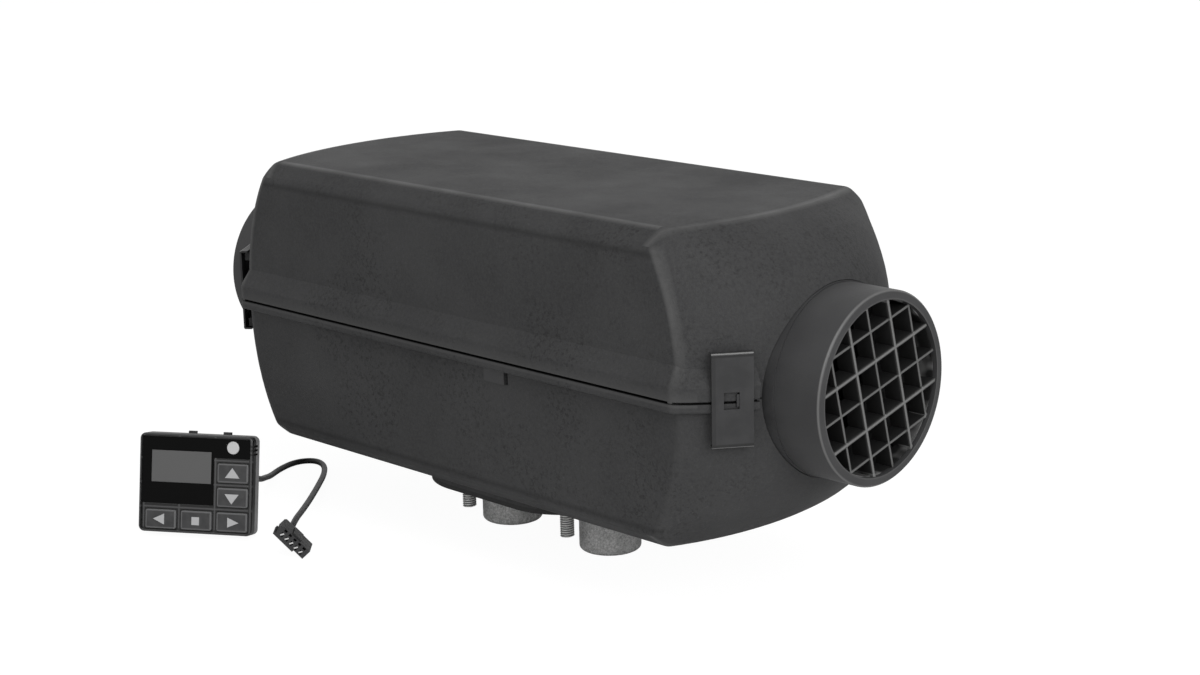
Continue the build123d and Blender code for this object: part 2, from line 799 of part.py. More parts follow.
# ---- Blower, motor and fan ------------------------------------------------------------------
def blower_housing():
    """Combustion-air blower: round housing with its wheel chamber and air port."""
    body = rod_x(flange_radius, blower_back, blower_front)
    body += port_lug(blower_back + 6, blower_front)
    body -= rod_x(chamber_radius, chamber_back, blower_front)
    body -= rod_x(shaft_radius + shaft_bore_gap, blower_back, chamber_back)
    body -= port_hole(blower_back + 10, blower_front)
    body -= block(
        blower_back + 10, blower_front - 6, -port_radius + 1, port_radius - 1,
        port_z(), -chamber_radius + 2,
    )
    for x, y, z in blower_screw_places():
        body -= rod_x(blower_screw_radius + 0.3, blower_back, blower_front, y, z)
    return body


def blower_cover():
    """Plate that closes the wheel chamber, with the burner's air outlet."""
    plate = rod_x(chamber_radius - 0.1, blower_front - cover_sheet, blower_front)
    return plate - rod_x(shaft_radius * 3, blower_front - cover_sheet, blower_front)


def combustion_wheel():
    """Impeller for combustion air: disc, hub and curved blades."""
    back = chamber_back + inner_wheel_gap
    wheel = rod_x(inner_wheel_radius, back, back + 2)
    wheel += rod_x(shaft_radius * 2.4, back, back + 2 + inner_blade_height)
    for index in range(inner_wheel_blades):
        blade_arc = ThreePointArc(
            (11, 0), (20, 2.6), (inner_wheel_radius - 0.4, 8.5)
        )
        strip = make_face(offset(blade_arc, amount=0.6, side=Side.BOTH))
        blade = extrude(Plane.YZ * strip, amount=2 + inner_blade_height)
        wheel += Pos(back, 0, 0) * Rot(360.0 * index / inner_wheel_blades, 0, 0) * blade
    return wheel - rod_x(shaft_radius, back, back + 2 + inner_blade_height)


def motor():
    """Brushless motor: can, mounting flange, end boss and shaft bore."""
    can = rod_x(motor_radius, motor_back, blower_back - motor_flange)
    can = fillet(can.edges().filter_by(GeomType.CIRCLE).sort_by(Axis.X)[0], 3)
    can += rod_x(motor_flange_radius, blower_back - motor_flange, blower_back)
    can -= rod_x(shaft_radius + shaft_bore_gap, motor_back, blower_back)
    can -= rod_x(bearing_radius, motor_back, motor_back + bearing_length)
    can -= rod_x(bearing_radius, blower_back - bearing_length, blower_back)
    return can


def motor_bearings():
    """Two ball bearings, one in each end of the motor."""
    rings = []
    for start in (motor_back, blower_back - bearing_length):
        ring = rod_x(bearing_radius, start, start + bearing_length)
        ring -= rod_x(shaft_radius + running_clearance, start, start + bearing_length)
        rings.append(ring)
    return Compound(children=rings)


def rotor_shaft():
    """Steel shaft through the motor, with a wheel on each end."""
    return rod_x(shaft_radius, shaft_front, shaft_back)


def fan_wheel():
    """Heating-air fan: domed hub with twisted blades."""
    back = fan_front - fan_length
    hub = rod_x(fan_hub_radius, back, fan_front)
    hub = fillet(hub.edges().filter_by(GeomType.CIRCLE).sort_by(Axis.X)[0], 9)
    hub -= rod_x(fan_hub_radius - 2.4, back + fan_length / 2, fan_front)
    hub += rod_x(shaft_radius * 2.2, back + 4, fan_front)
    blades = Part()
    for index in range(fan_blades):
        sections = []
        for radius, chord, twist in ((fan_hub_radius - 1, 19.0, 42.0), (fan_radius, 24.0, 62.0)):
            tilt = radians(twist)
            plane = Plane(
                origin=(back + fan_length / 2, 0, radius),
                x_dir=(cos(tilt), sin(tilt), 0),
                z_dir=(0, 0, 1),
            )
            sections.append(plane * SlotOverall(chord, fan_blade))
        blade = loft(sections, ruled=True)
        blades += Rot(360.0 * index / fan_blades, 0, 0) * blade
    blades &= rod_x(fan_radius, back, fan_front)
    wheel = hub + blades
    return wheel - rod_x(shaft_radius, back + 3, fan_front)


def blower_screws():
    """Four cap screws through the blower into the exchanger."""
    screws = []
    for x, y, z in blower_screw_places():
        screw = rod_x(blower_screw_radius, blower_back, core_flange_back - 1, y, z)
        screw += rod_x(
            blower_screw_head, blower_back - blower_screw_head_length, blower_back, y, z
        )
        screw -= rod_x(
            2.0, blower_back - blower_screw_head_length, blower_back - 1.5, y, z
        )
        screws.append(screw)
    return Compound(children=screws)


def control_unit():
    """Electronics box that straddles the motor, with its plug socket."""
    front = blower_back - unit_gap
    back = front - unit_length
    half = unit_width / 2
    box = block(back, front, -half, half, unit_bottom, unit_top)
    box = fillet(box.edges().filter_by(Axis.X).sort_by(Axis.Z)[-2:], 4)
    box -= rod_x(motor_radius + saddle_clearance, -far, far)
    box -= rod_x(motor_flange_radius + saddle_clearance, blower_back - motor_flange - 1, far)
    for x, y, z in blower_screw_places():
        box -= rod_x(
            blower_screw_head + saddle_clearance,
            blower_back - blower_screw_head_length - 1, far, y, z,
        )
    for index in range(5):
        rib_x = back + 7 + index * 7.5
        box -= block(rib_x, rib_x + 2.5, -half + 8, half - 8, unit_top - 1.5, unit_top)
    return box


# ---- Cable outlets --------------------------------------------------------------------------
def outlet_insert(slit):
    """Body of a blanking plug or grommet in a cable outlet, before its side is chosen."""
    left = outlet_x - outlet_width / 2 + 0.1
    right = outlet_x + outlet_width / 2 - slit
    top = -flange_below - 0.1
    low = top - outlet_height + 0.2
    body = block(
        left, right, -side_half_width - outlet_proud, -side_half_width + wall, low, top
    )
    rim = outlet_inner_rim
    body += block(
        left - rim, right + rim, -side_half_width + wall + 0.05,
        -side_half_width + wall + outlet_inner_thickness, low - rim, top + 0.6,
    )
    bridge = block(left, right, -side_half_width, -side_half_width + wall + 0.5, low, top)
    return body + bridge


def harness_blanking_plug():
    """Tongue that fills the unused cable outlet, short of one side."""
    return outlet_insert(plug_slit)


def harness_grommet():
    """Rubber grommet in the cable outlet of the other side."""
    body = mirror(outlet_insert(0.1), about=Plane.XZ)
    low = -flange_below - outlet_height + 0.1
    middle = -flange_below - outlet_height / 2
    y = side_half_width + outlet_proud
    dome = rod_z(2.4, 0, 2.2)
    return body + Pos(outlet_x, y, middle) * Rot(-90, 0, 0) * dome


# ---- Controller, in its own frame: X right, Y up, Z out of the face ---------------------------
def remote_plane():
    """Place of the controller: lower left corner of its face, leaning back on the tab ramps."""
    angle = radians(remote_azimuth)
    lean = radians(remote_lean)
    half = remote_width / 2
    height = remote_tab * cos(lean) + remote_tab_start * sin(lean)
    origin = (remote_x - half * cos(angle), remote_y - half * sin(angle), ground + height)
    out = (sin(angle) * cos(lean), -cos(angle) * cos(lean), sin(lean))
    return Plane(origin=origin, x_dir=(cos(angle), sin(angle), 0), z_dir=out)


def remote_block(z_low, z_high, inset=0.0, corner=remote_corner):
    """Rounded block of the controller's outline."""
    return rounded_plate(
        remote_width - 2 * inset, remote_height - 2 * inset, corner, z_low, z_high,
        x=remote_width / 2, y=remote_height / 2,
    )


def window_outline(gap, z_low, z_high):
    """The L-shaped window, smaller by a gap all round."""
    outline = Polyline(
        (window_left + gap, window_low + gap), (window_step_x - gap, window_low + gap),
        (window_step_x - gap, window_step_y + gap), (window_right - gap, window_step_y + gap),
        (window_right - gap, window_top - gap), (window_left + gap, window_top - gap), close=True,
    )
    return extrude(Pos(0, 0, z_low) * make_face(outline), amount=z_high - z_low)


def key_places():
    """Name and centre of each key."""
    left, middle, right = key_columns
    low, centre, high = key_rows
    return {
        "key_left": (left, low),
        "key_ok": (middle, low),
        "key_right": (right, low),
        "key_down": (right, centre),
        "key_up": (right, high),
    }


def controller_front():
    """Front shell: raised frame, window seat, five key holes, side vents."""
    body = remote_block(-remote_front, 0)
    front_edges = body.edges().group_by(Axis.Z)[-1]
    body = fillet(front_edges, 0.7)
    body -= remote_block(-remote_face_drop, 0, inset=remote_rim, corner=1.4)
    inner_z = -remote_face_drop - remote_plate
    body -= remote_block(-remote_front, inner_z, inset=remote_wall, corner=1.2)
    body -= window_outline(0, -remote_face_drop - window_thickness, 0)
    left, right, low, high = lcd_box
    body -= block(left - 1, right + 1, low - 1, high + 1, -remote_front, 0)
    for u, v in key_places().values():
        body -= rounded_plate(
            key_width + 2 * key_clearance, key_height + 2 * key_clearance,
            key_round + key_clearance, -remote_front, 0, x=u, y=v,
        )
    body -= rod_z(lens_radius + 0.1, -remote_front, 0, *lens_centre)
    for index in range(3):
        v = remote_height - 4.2 - index * 1.77
        body -= block(
            remote_width - 0.7, remote_width + 1, v - 0.42, v + 0.42, -5.6, -1.0
        )
    return body


def tab_ramp(u_low, u_high):
    """Snap tab under the rear shell: its ramp lies flat on the ground when the controller leans."""
    back = -remote_front - remote_rear
    fall = (back + remote_tab_start) * tan(radians(remote_lean))
    profile = Polyline(
        (-remote_tab_start, -remote_tab), (back, -remote_tab - fall), (back, remote_box_inset + 0.5),
        (-remote_tab_start, remote_box_inset + 0.5), close=True,
    )
    side = Plane(origin=(u_low, 0, 0), x_dir=(0, 0, 1), z_dir=(-1, 0, 0))
    return extrude(side * make_face(profile), amount=u_low - u_high)


def controller_rear():
    """Rear shell: rim, smaller box with board pillars, snap tabs and the cable boot's hole."""
    back = -remote_front - remote_rear
    step = -remote_front - remote_rim_depth
    body = remote_block(step, -remote_front)
    box = remote_block(back, step, inset=remote_box_inset)
    body += fillet(box.edges().group_by(Axis.Z)[0], 1.2)
    inner = remote_box_inset + remote_wall
    body -= remote_block(back + remote_wall, -remote_front, inset=inner, corner=1.2)
    for u, v in corners(remote_width - 13, remote_height - 13, remote_width / 2, remote_height / 2):
        body += rod_z(2.2, back + 1, -board_back, u, v)
    top = remote_height + 0.9
    for u in (20.75, 36.85):
        body += block(
            u - 1.75, u + 1.75, remote_height - remote_box_inset - 1, top,
            -remote_tab_start - 1.6, -remote_tab_start,
        )
    body += tab_ramp(4.5, 18.6) + tab_ramp(22.8, 31.0)
    return body - rod_z(boot_radius + 0.05, back - 1, back + remote_wall, boot_u, boot_v)


def display_window():
    """Black gloss window, open over the display."""
    back = -remote_face_drop - window_thickness
    window = window_outline(0.1, back, -remote_face_drop + 0.15)
    left, right, low, high = lcd_box
    window -= block(left, right, low, high, back, 0)
    return window - rod_z(lens_radius + 0.1, back, 0, *lens_centre)


def display_panel():
    """Liquid-crystal display behind the window."""
    left, right, low, high = lcd_box
    gap = 0.05
    face = -remote_face_drop + 0.1
    glass = block(left + gap, right - gap, low + gap, high - gap, face - 1.6, face)
    board_face = -board_back + board_thickness
    return glass + block(left + 2, right - 2, low + 2, high - 2, board_face, face - 1.6)


def indicator_lens():
    """Plain round lens over a lamp."""
    low = -remote_face_drop - remote_plate
    lens = rod_z(lens_radius, low - 0.4, -remote_face_drop + 0.4, *lens_centre)
    lens = fillet(lens.edges().filter_by(GeomType.CIRCLE).sort_by(Axis.Z)[-1], 0.4)
    skirt = rod_z(lens_radius + 0.8, low - 1.0, low - 0.05, *lens_centre)
    return lens + skirt


def key_cap(u, v):
    """A key: raised cap, and a skirt that keeps it behind the front shell."""
    top = -remote_face_drop + key_proud
    under_shell = -remote_face_drop - remote_plate - 0.1
    cap = rounded_plate(key_width, key_height, key_round, under_shell, top, x=u, y=v)
    cap = fillet(cap.edges().group_by(Axis.Z)[-1], 0.6)
    skirt = rounded_plate(
        key_width + 1.0, key_height - 0.6, key_round, under_shell - key_skirt, under_shell, x=u, y=v
    )
    return cap + skirt


def controller_board():
    """Circuit board on the rear shell's pillars."""
    inset = remote_box_inset + remote_wall + 0.4
    return remote_block(-board_back, -board_back + board_thickness, inset=inset, corner=1)


def key_switches():
    """A tact switch under each key."""
    face = -board_back + board_thickness
    top = -remote_face_drop - remote_plate - 0.1 - key_skirt - key_travel - switch_gap
    half = switch_size / 2
    switches = []
    for u, v in key_places().values():
        body = block(u - half, u + half, v - half, v + half, face, top - 0.8)
        switches.append(body + rod_z(1.7, top - 0.8, top, u, v))
    return Compound(children=switches)


def cable_boot():
    """Rubber boot where the cable leaves the controller."""
    back = -remote_front - remote_rear
    boot = Pos(boot_u, boot_v, back) * Rot(180, 0, 0) * Cone(
        boot_radius, cable_radius + 0.8, boot_length, align=MIN
    )
    tip = back - boot_length
    boot -= rod_z(cable_radius + cord_gap, tip, tip + boot_seat, boot_u, boot_v)
    boot += rod_z(boot_radius, back - 0.01, back + remote_wall, boot_u, boot_v)
    inner = back + remote_wall
    return boot + rod_z(boot_radius + 1, inner, inner + 0.6, boot_u, boot_v)


# ---- Cable and connector --------------------------------------------------------------------
def connector_plane():
    """Frame of the connector: X along its row upwards, Y to the mating side, Z its thickness."""
    facing = radians(connector_facing)
    lean = radians(connector_lean)
    height = connector_width / 2 * sin(lean) + connector_height / 2 * cos(lean)
    return Plane(
        origin=(connector_x, connector_y, ground + height),
        x_dir=(-cos(facing) * cos(lean), -sin(facing) * cos(lean), sin(lean)),
        z_dir=(cos(facing) * sin(lean), sin(facing) * sin(lean), cos(lean)),
    )


def cable_route():
    """The cable's points: out of the boot, down to the ground, round and to the connector."""
    remote = remote_plane()
    way = -remote.z_dir
    tip = -remote_front - remote_rear - boot_length
    start = Vector(remote.from_local_coords((boot_u, boot_v, tip + boot_seat)))
    plug = connector_plane()
    end = Vector(plug.from_local_coords((connector_entry, connector_seat, 0.5)))
    level = ground + cable_radius
    return [
        start,
        start + way * 9.0,
        Vector(-129.0, -63.0, level + 10.0),
        Vector(-143.5, -49.0, level + 4.6),
        Vector(-154.5, -38.0, level + 0.3),
        Vector(-161.0, -26.0, level),
        Vector(-161.5, -15.0, level),
        Vector(-155.5, -8.5, level),
        Vector(-146.7, -8.7, level),
        Vector(-140.5, -15.5, level),
        Vector(-125.0, -34.5, level),
        Vector(-106.3, -54.2, level + 0.9),
        Vector(-89.0, -71.4, level + 5.6),
        end - plug.y_dir * 12.0,
        end,
    ]


def cable_corner_radii(points):
    """Bend radius at each corner: 0.45 of the shorter run over the tangent of half the turn."""
    radii = []
    for before, here, after in zip(points, points[1:], points[2:]):
        first = here - before
        second = after - here
        turn = radians(first.get_angle(second))
        radii.append(0.45 * min(first.length, second.length) / tan(turn / 2))
    return radii


def controller_cable():
    """Round cable along its route."""
    points = cable_route()
    radii = cable_corner_radii(points)
    print("cable bend radii:", [round(radius, 1) for radius in radii])
    path = FilletPolyline(*points, radius=radii)
    section = Plane(origin=points[0], z_dir=points[1] - points[0]) * Circle(cable_radius)
    tube = sweep(section, path=path)
    expected = section.area * path.length
    share = round(tube.volume / expected, 4)
    print("cable length:", round(path.length, 1), "volume over expected:", share)
    return tube


def connector_way(index):
    """Middle of one way of the connector, along its row."""
    return (index - (connector_pins - 1) / 2) * connector_pitch


def cable_connector():
    """Five-way plug housing: open terminal slots, lance windows, latch rail, cable hole."""
    half = connector_width / 2
    thick = connector_height / 2
    body = block(-half, half, 0, connector_depth, -thick, thick)
    corner = body.edges().filter_by(Axis.Y).group_by(Axis.X)[-1]
    body = chamfer(corner, 0.7)
    body += block(
        -half * 0.35, half + 0.5, 2.0, connector_depth, -thick - connector_rail, -thick + 0.3
    )
    body += block(-half * 0.3, half * 0.3, 1.0, connector_depth - 1.5, thick, thick + 0.6)
    for index in range(connector_pins):
        x = connector_way(index)
        slot = terminal_width / 2
        body -= block(
            x - slot, x + slot, connector_depth - 5.0, connector_depth, -thick + 0.5, 0.2
        )
        body -= block(x - 0.7, x + 0.7, connector_depth - 2.5, connector_depth, 0.9, 2.0)
    body -= Pos(connector_entry, 0, 0.5) * Rot(-90, 0, 0) * Cylinder(
        cable_radius + cord_gap, connector_seat, align=MIN
    )
    return body


def connector_terminals():
    """Sprung metal terminals, one slanting in each slot."""
    thick = connector_height / 2
    strips = []
    for index in range(connector_pins):
        x = connector_way(index)
        strip = block(-0.3, 0.3, connector_depth - 4.9, connector_depth - 0.4, -0.95, 0.85)
        strip = Pos(x, 0, (0.7 - thick) / 2) * Rot(0, -28, 0) * strip
        strips.append(strip)
    return Compound(children=strips)


# ---- Nodes ----------------------------------------------------------------------------------
to_mount = Location((-foot_x, 0, -mount_face))


def write(name, shape):
    """Moves a piece to the mounting frame and writes it."""
    placed = to_mount * shape
    export_step(placed, f"parts/{name}.step")


def heater_nodes():
    """Every heater piece by name."""
    hood = outlet_hood()
    grille = outlet_grille()
    intake, exhaust = stub_places()
    nodes = {
        "upper_casing": upper_casing(),
        "lower_casing": lower_casing(),
        "outlet_hood": hood,
        "outlet_grille": grille,
        "inlet_hood": mirror(hood, about=Plane.YZ),
        "inlet_grille": mirror(grille, about=Plane.YZ),
        "clip_outlet_front": casing_clip(1, -1),
        "clip_outlet_rear": casing_clip(1, 1),
        "clip_inlet_front": casing_clip(-1, -1),
        "clip_inlet_rear": casing_clip(-1, 1),
        "heat_exchanger": heat_exchanger(),
        "intake_stub": gas_stub(intake),
        "exhaust_stub": gas_stub(exhaust),
        "mounting_gasket": mounting_gasket(),
        "mounting_studs": mounting_studs(),
        "fuel_inlet_pipe": fuel_inlet_pipe(),
        "burner_gasket": burner_gasket(),
        "combustion_chamber": combustion_chamber(),
        "flame_tube": flame_tube(),
        "glow_plug": glow_plug(),
        "atomizer_screen": atomizer_screen(),
        "temperature_sensor": temperature_sensor(),
        "sensor_clip": sensor_clip(),
        "blower_housing": blower_housing(),
        "blower_cover": blower_cover(),
        "blower_screws": blower_screws(),
        "combustion_wheel": combustion_wheel(),
        "motor": motor(),
        "motor_bearings": motor_bearings(),
        "rotor_shaft": rotor_shaft(),
        "fan_wheel": fan_wheel(),
        "control_unit": control_unit(),
        "harness_blanking_plug": harness_blanking_plug(),
        "harness_grommet": harness_grommet(),
    }
    return nodes


def controller_nodes():
    """Every controller piece by name, standing in its place."""
    plane = remote_plane()
    pieces = {
        "controller_front": controller_front(),
        "controller_rear": controller_rear(),
        "display_window": display_window(),
        "display_panel": display_panel(),
        "indicator_lens": indicator_lens(),
        "controller_board": controller_board(),
        "key_switches": key_switches(),
        "cable_boot": cable_boot(),
    }
    for name, (u, v) in key_places().items():
        pieces[name] = key_cap(u, v)
    nodes = {name: plane * piece for name, piece in pieces.items()}
    nodes["controller_cable"] = controller_cable()
    end = connector_plane()
    nodes["cable_connector"] = end * cable_connector()
    nodes["connector_terminals"] = end * connector_terminals()
    return nodes


os.makedirs("parts", exist_ok=True)
for node_name, node_shape in {**heater_nodes(), **controller_nodes()}.items():
    write(node_name, node_shape)
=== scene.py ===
from math import cos, pi, radians, sin

import bpy
from mathutils import Matrix, Vector


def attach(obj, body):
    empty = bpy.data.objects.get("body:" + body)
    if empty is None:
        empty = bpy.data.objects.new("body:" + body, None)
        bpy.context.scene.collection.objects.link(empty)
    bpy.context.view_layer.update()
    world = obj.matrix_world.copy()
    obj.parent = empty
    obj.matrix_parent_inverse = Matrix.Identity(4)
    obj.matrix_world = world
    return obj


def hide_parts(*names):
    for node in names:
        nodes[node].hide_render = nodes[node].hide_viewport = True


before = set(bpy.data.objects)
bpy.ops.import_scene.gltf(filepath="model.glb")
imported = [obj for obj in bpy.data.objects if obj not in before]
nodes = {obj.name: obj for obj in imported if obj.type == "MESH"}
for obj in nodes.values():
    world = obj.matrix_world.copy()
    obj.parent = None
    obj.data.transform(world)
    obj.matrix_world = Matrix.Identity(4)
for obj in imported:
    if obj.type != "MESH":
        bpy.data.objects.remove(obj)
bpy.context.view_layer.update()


# ---- Heat exchanger ---------------------------------------------------------------------------
# One aluminium sand casting: finned barrel, foot and the two gas stubs that show under the casing.
# It comes out of the mould with a fine pitted skin, as the blower housing does, and is only
# milled at the blower flange.


class Channel:
    """A value, colour or vector that travels through a material."""

    def __init__(self, tree, socket):
        self.tree = tree
        self.socket = socket

    def _maths(self, operation, left, right=0.0):
        node = self.tree.nodes.new("ShaderNodeMath")
        node.operation = operation
        for place, term in enumerate((left, right)):
            if isinstance(term, Channel):
                self.tree.links.new(term.socket, node.inputs[place])
            else:
                node.inputs[place].default_value = term
        return Channel(self.tree, node.outputs[0])

    def __add__(self, other):
        return self._maths("ADD", self, other)

    def __sub__(self, other):
        return self._maths("SUBTRACT", self, other)

    def __rsub__(self, other):
        return self._maths("SUBTRACT", other, self)

    def __mul__(self, other):
        return self._maths("MULTIPLY", self, other)

    def __truediv__(self, other):
        return self._maths("DIVIDE", self, other)

    def __pow__(self, other):
        return self._maths("POWER", self, other)

    __radd__ = __add__
    __rmul__ = __mul__

    def size(self):
        """The value without its sign."""
        return self._maths("ABSOLUTE", self)

    def over(self, limit):
        """1 where the value is greater than a limit, and 0 elsewhere."""
        return self._maths("GREATER_THAN", self, limit)

    def under(self, limit):
        """1 where the value is less than a limit, and 0 elsewhere."""
        return self._maths("LESS_THAN", self, limit)

    def at_least(self, other):
        return self._maths("MAXIMUM", self, other)

    def at_most(self, other):
        return self._maths("MINIMUM", self, other)

    def rise(self, start, width):
        """0 up to a start, and from there up to 1 over a width."""
        return ((self - start) / width).at_least(0.0).at_most(1.0)

    def fall(self, start, width):
        """1 up to a start, and from there down to 0 over a width."""
        return 1.0 - self.rise(start, width)

    def line(self, middle, reach, peak=1.0):
        """A soft line where the value is near a middle; a peak over 1 gives it a flat top."""
        return (peak - (self - middle).size() / reach).at_least(0.0).at_most(1.0)

    def off_step(self, step):
        """How far the value lies from the nearest whole number of steps."""
        steps = self / step
        return (steps - steps._maths("ROUND", steps)).size() * step

    def diagonal(self, other):
        """The distance that two offsets at right angles make."""
        return (self * self + other * other) ** 0.5


def opaque(tone):
    """A colour as a socket holds it; a single number is a grey."""
    return (*tone, 1.0) if isinstance(tone, tuple) else (tone, tone, tone, 1.0)


class Nodes:
    """A node tree, where every node but a Channel's sums is made in one way."""

    def __init__(self, tree):
        self.tree = tree

    def feed(self, node, socket, value):
        """Links a channel to a socket, or sets the socket to a plain value."""
        if isinstance(value, Channel):
            self.tree.links.new(value.socket, node.inputs[socket])
        else:
            node.inputs[socket].default_value = value

    def node(self, kind, sockets=(), settings=(), output=0):
        """Makes a node: first its settings, then the values or links of its sockets."""
        made = self.tree.nodes.new(kind)
        for name, value in dict(settings).items():
            if name == "stops":
                for stop, (spot, tone) in zip(made.color_ramp.elements, value):
                    stop.position = spot
                    stop.color = opaque(tone)
            else:
                setattr(made, name, value)
        for socket, value in dict(sockets).items():
            self.feed(made, socket, value)
        return Channel(self.tree, made.outputs[output])


class Finish(Nodes):
    """A material, with patterns that lie still on the object."""

    def __init__(self, name, colour, roughness, **shader):
        self.material = bpy.data.materials.new(name)
        self.material.use_nodes = True
        super().__init__(self.material.node_tree)
        self.shader = self.tree.nodes["Principled BSDF"]
        self.feed(self.shader, "Base Color", opaque(colour))
        self.feed(self.shader, "Roughness", roughness)
        for socket, value in shader.items():
            self.feed(self.shader, socket.replace("_", " "), value)
        self.place = self.node("ShaderNodeTexCoord", output="Object")

    def along(self, axis):
        """How far the surface lies along X, Y or Z."""
        return self.node("ShaderNodeSeparateXYZ", {"Vector": self.place}, output=axis)

    def cloud(self, per_metre, detail=3.0, rough=0.5):
        """Soft random tone, about 0.5 on average, with so many patches to a metre."""
        return self.node("ShaderNodeTexNoise", {
            "Vector": self.place, "Scale": per_metre, "Detail": detail, "Roughness": rough,
        })

    def spread(self, tone, low, high):
        """Stretches the middle of a cloud so that low becomes 0 and high becomes 1."""
        stops = {"stops": ((low, 0.0), (high, 1.0))}
        return self.node("ShaderNodeValToRGB", {"Fac": tone}, stops)

    def blend(self, amount, first, second):
        """Two colours mixed by an amount."""
        sockets = {0: amount}
        for place, colour in ((6, first), (7, second)):
            sockets[place] = colour if isinstance(colour, Channel) else opaque(colour)
        return self.node("ShaderNodeMix", sockets, {"data_type": "RGBA"}, output=2)

    def layers(self, ground, *coats):
        """A ground colour with coats over it, each an amount and a colour."""
        for amount, colour in coats:
            ground = self.blend(amount, ground, colour)
        return ground

    def skin(self, colour=None, roughness=None, relief=None, depth=0.0001):
        """What changes over the surface: colour, roughness and a relief of some depth."""
        if colour is not None:
            self.feed(self.shader, "Base Color", colour)
        if roughness is not None:
            self.feed(self.shader, "Roughness", roughness)
        if relief is not None:
            bump = self.node("ShaderNodeBump", {
                "Height": relief, "Distance": depth, "Strength": 1.0,
            })
            self.feed(self.shader, "Normal", bump)

    def on(self, *pieces):
        """Puts the finish on pieces, or on CAD nodes by name."""
        for piece in pieces:
            piece = nodes[piece] if isinstance(piece, str) else piece
            piece.data.materials.clear()
            piece.data.materials.append(self.material)


bright_cast = (0.78, 0.78, 0.775)
cast = Finish("cast_aluminium", (0.45, 0.45, 0.447), 0.5, Metallic=0.45)
pits = cast.cloud(1400, detail=4.0, rough=0.7)
patches = cast.cloud(90)
cast.skin(
    colour=cast.blend(
        cast.spread(patches * 0.6 + pits * 0.4, 0.35, 0.68), (0.30, 0.30, 0.298), bright_cast
    ),
    roughness=0.42 + 0.3 * pits,
    relief=pits,
    depth=0.00025,
)
cast.on("heat_exchanger", "blower_housing")

stub_cast = Finish("cast_stub", (0.40, 0.40, 0.395), 0.5, Metallic=0.35)
stub_pits = stub_cast.cloud(1100, detail=5.0, rough=0.8)
stub_patches = stub_cast.cloud(200, detail=4.0)
stub_cast.skin(
    colour=stub_cast.blend(
        stub_cast.spread(stub_patches * 0.15 + stub_pits * 0.85, 0.36, 0.66),
        (0.22, 0.22, 0.218), bright_cast,
    ),
    roughness=0.36 + 0.3 * stub_pits,
    relief=stub_pits,
    depth=0.0003,
)
stub_cast.on("intake_stub", "exhaust_stub")


# ---- Mounting studs ---------------------------------------------------------------------------
# Four steel studs with a rolled M6 thread, zinc plated, screwed into the foot of the casting.
# The thread is one profile wound up along each stud and closed at both ends.
stud_reach = (0.03015, 0.0254)
stud_top = 0.0018
stud_tip = -0.0160
tip_draw = 0.84
thread_pitch = 0.0010
thread_crest = 0.0030
thread_root = 0.00245
turn_steps = 24


def only(piece):
    """Leaves one piece selected and active."""
    bpy.ops.object.select_all(action="DESELECT")
    piece.select_set(True)
    bpy.context.view_layer.objects.active = piece


def settle(piece):
    """Moves a finished piece's place into its mesh, so that its object sits at the origin."""
    only(piece)
    bpy.ops.object.transform_apply(location=True, rotation=True, scale=True)


def modify(piece, kind, **settings):
    """Adds a modifier and applies it."""
    only(piece)
    modifier = piece.modifiers.new(kind.title(), kind)
    for name, value in settings.items():
        setattr(modifier, name, value)
    bpy.ops.object.modifier_apply(modifier=modifier.name)


def join(pieces, name):
    """Joins pieces into the first and names it."""
    only(pieces[0])
    for piece in pieces[1:]:
        piece.select_set(True)
    bpy.ops.object.join()
    pieces[0].name = name
    return pieces[0]


def pick(piece, wanted):
    """Goes into edit mode with the points selected that pass a test of their place."""
    only(piece)
    bpy.ops.object.mode_set(mode="EDIT")
    bpy.ops.mesh.select_mode(type="VERT")
    bpy.ops.mesh.select_all(action="DESELECT")
    bpy.ops.object.mode_set(mode="OBJECT")
    for vertex in piece.data.vertices:
        vertex.select = wanted(vertex.co)
    bpy.ops.object.mode_set(mode="EDIT")


def close_up():
    """Turns every face outwards and leaves edit mode."""
    bpy.ops.mesh.select_all(action="SELECT")
    bpy.ops.mesh.normals_make_consistent(inside=False)
    bpy.ops.object.mode_set(mode="OBJECT")


def threaded_stud(x, y):
    """A wound thread profile, cut level at both ends and drawn in at the tip."""
    bpy.ops.object.select_all(action="DESELECT")
    bpy.ops.mesh.primitive_plane_add(size=thread_pitch)
    stud = bpy.context.object
    profile = ((thread_root, 0.0), (thread_crest, 0.4), (thread_root, 1.0), (thread_crest, 0.55))
    for corner, (radius, share) in zip(stud.data.vertices, profile):
        corner.co = (radius, 0.0, share * thread_pitch)
    pick(stud, lambda spot: spot.x < (thread_root + thread_crest) / 2)
    bpy.ops.mesh.delete(type="EDGE_FACE")
    bpy.ops.object.mode_set(mode="OBJECT")
    turns = int((stud_top - stud_tip) / thread_pitch) + 3
    modify(
        stud, "SCREW", axis="Z", angle=2 * pi, screw_offset=thread_pitch, iterations=turns,
        steps=turn_steps, render_steps=turn_steps, use_merge_vertices=True,
        merge_threshold=0.00002,
    )
    stud.location = (x, y, stud_tip - thread_pitch)
    settle(stud)
    bpy.ops.object.mode_set(mode="EDIT")
    for level, outside in ((stud_top, 1), (stud_tip, -1)):
        bpy.ops.mesh.select_all(action="SELECT")
        bpy.ops.mesh.bisect(
            plane_co=(x, y, level), plane_no=(0, 0, outside), use_fill=True, clear_outer=True
        )
    bpy.ops.transform.resize(value=(tip_draw, tip_draw, 1.0), center_override=(x, y, stud_tip))
    close_up()
    return stud


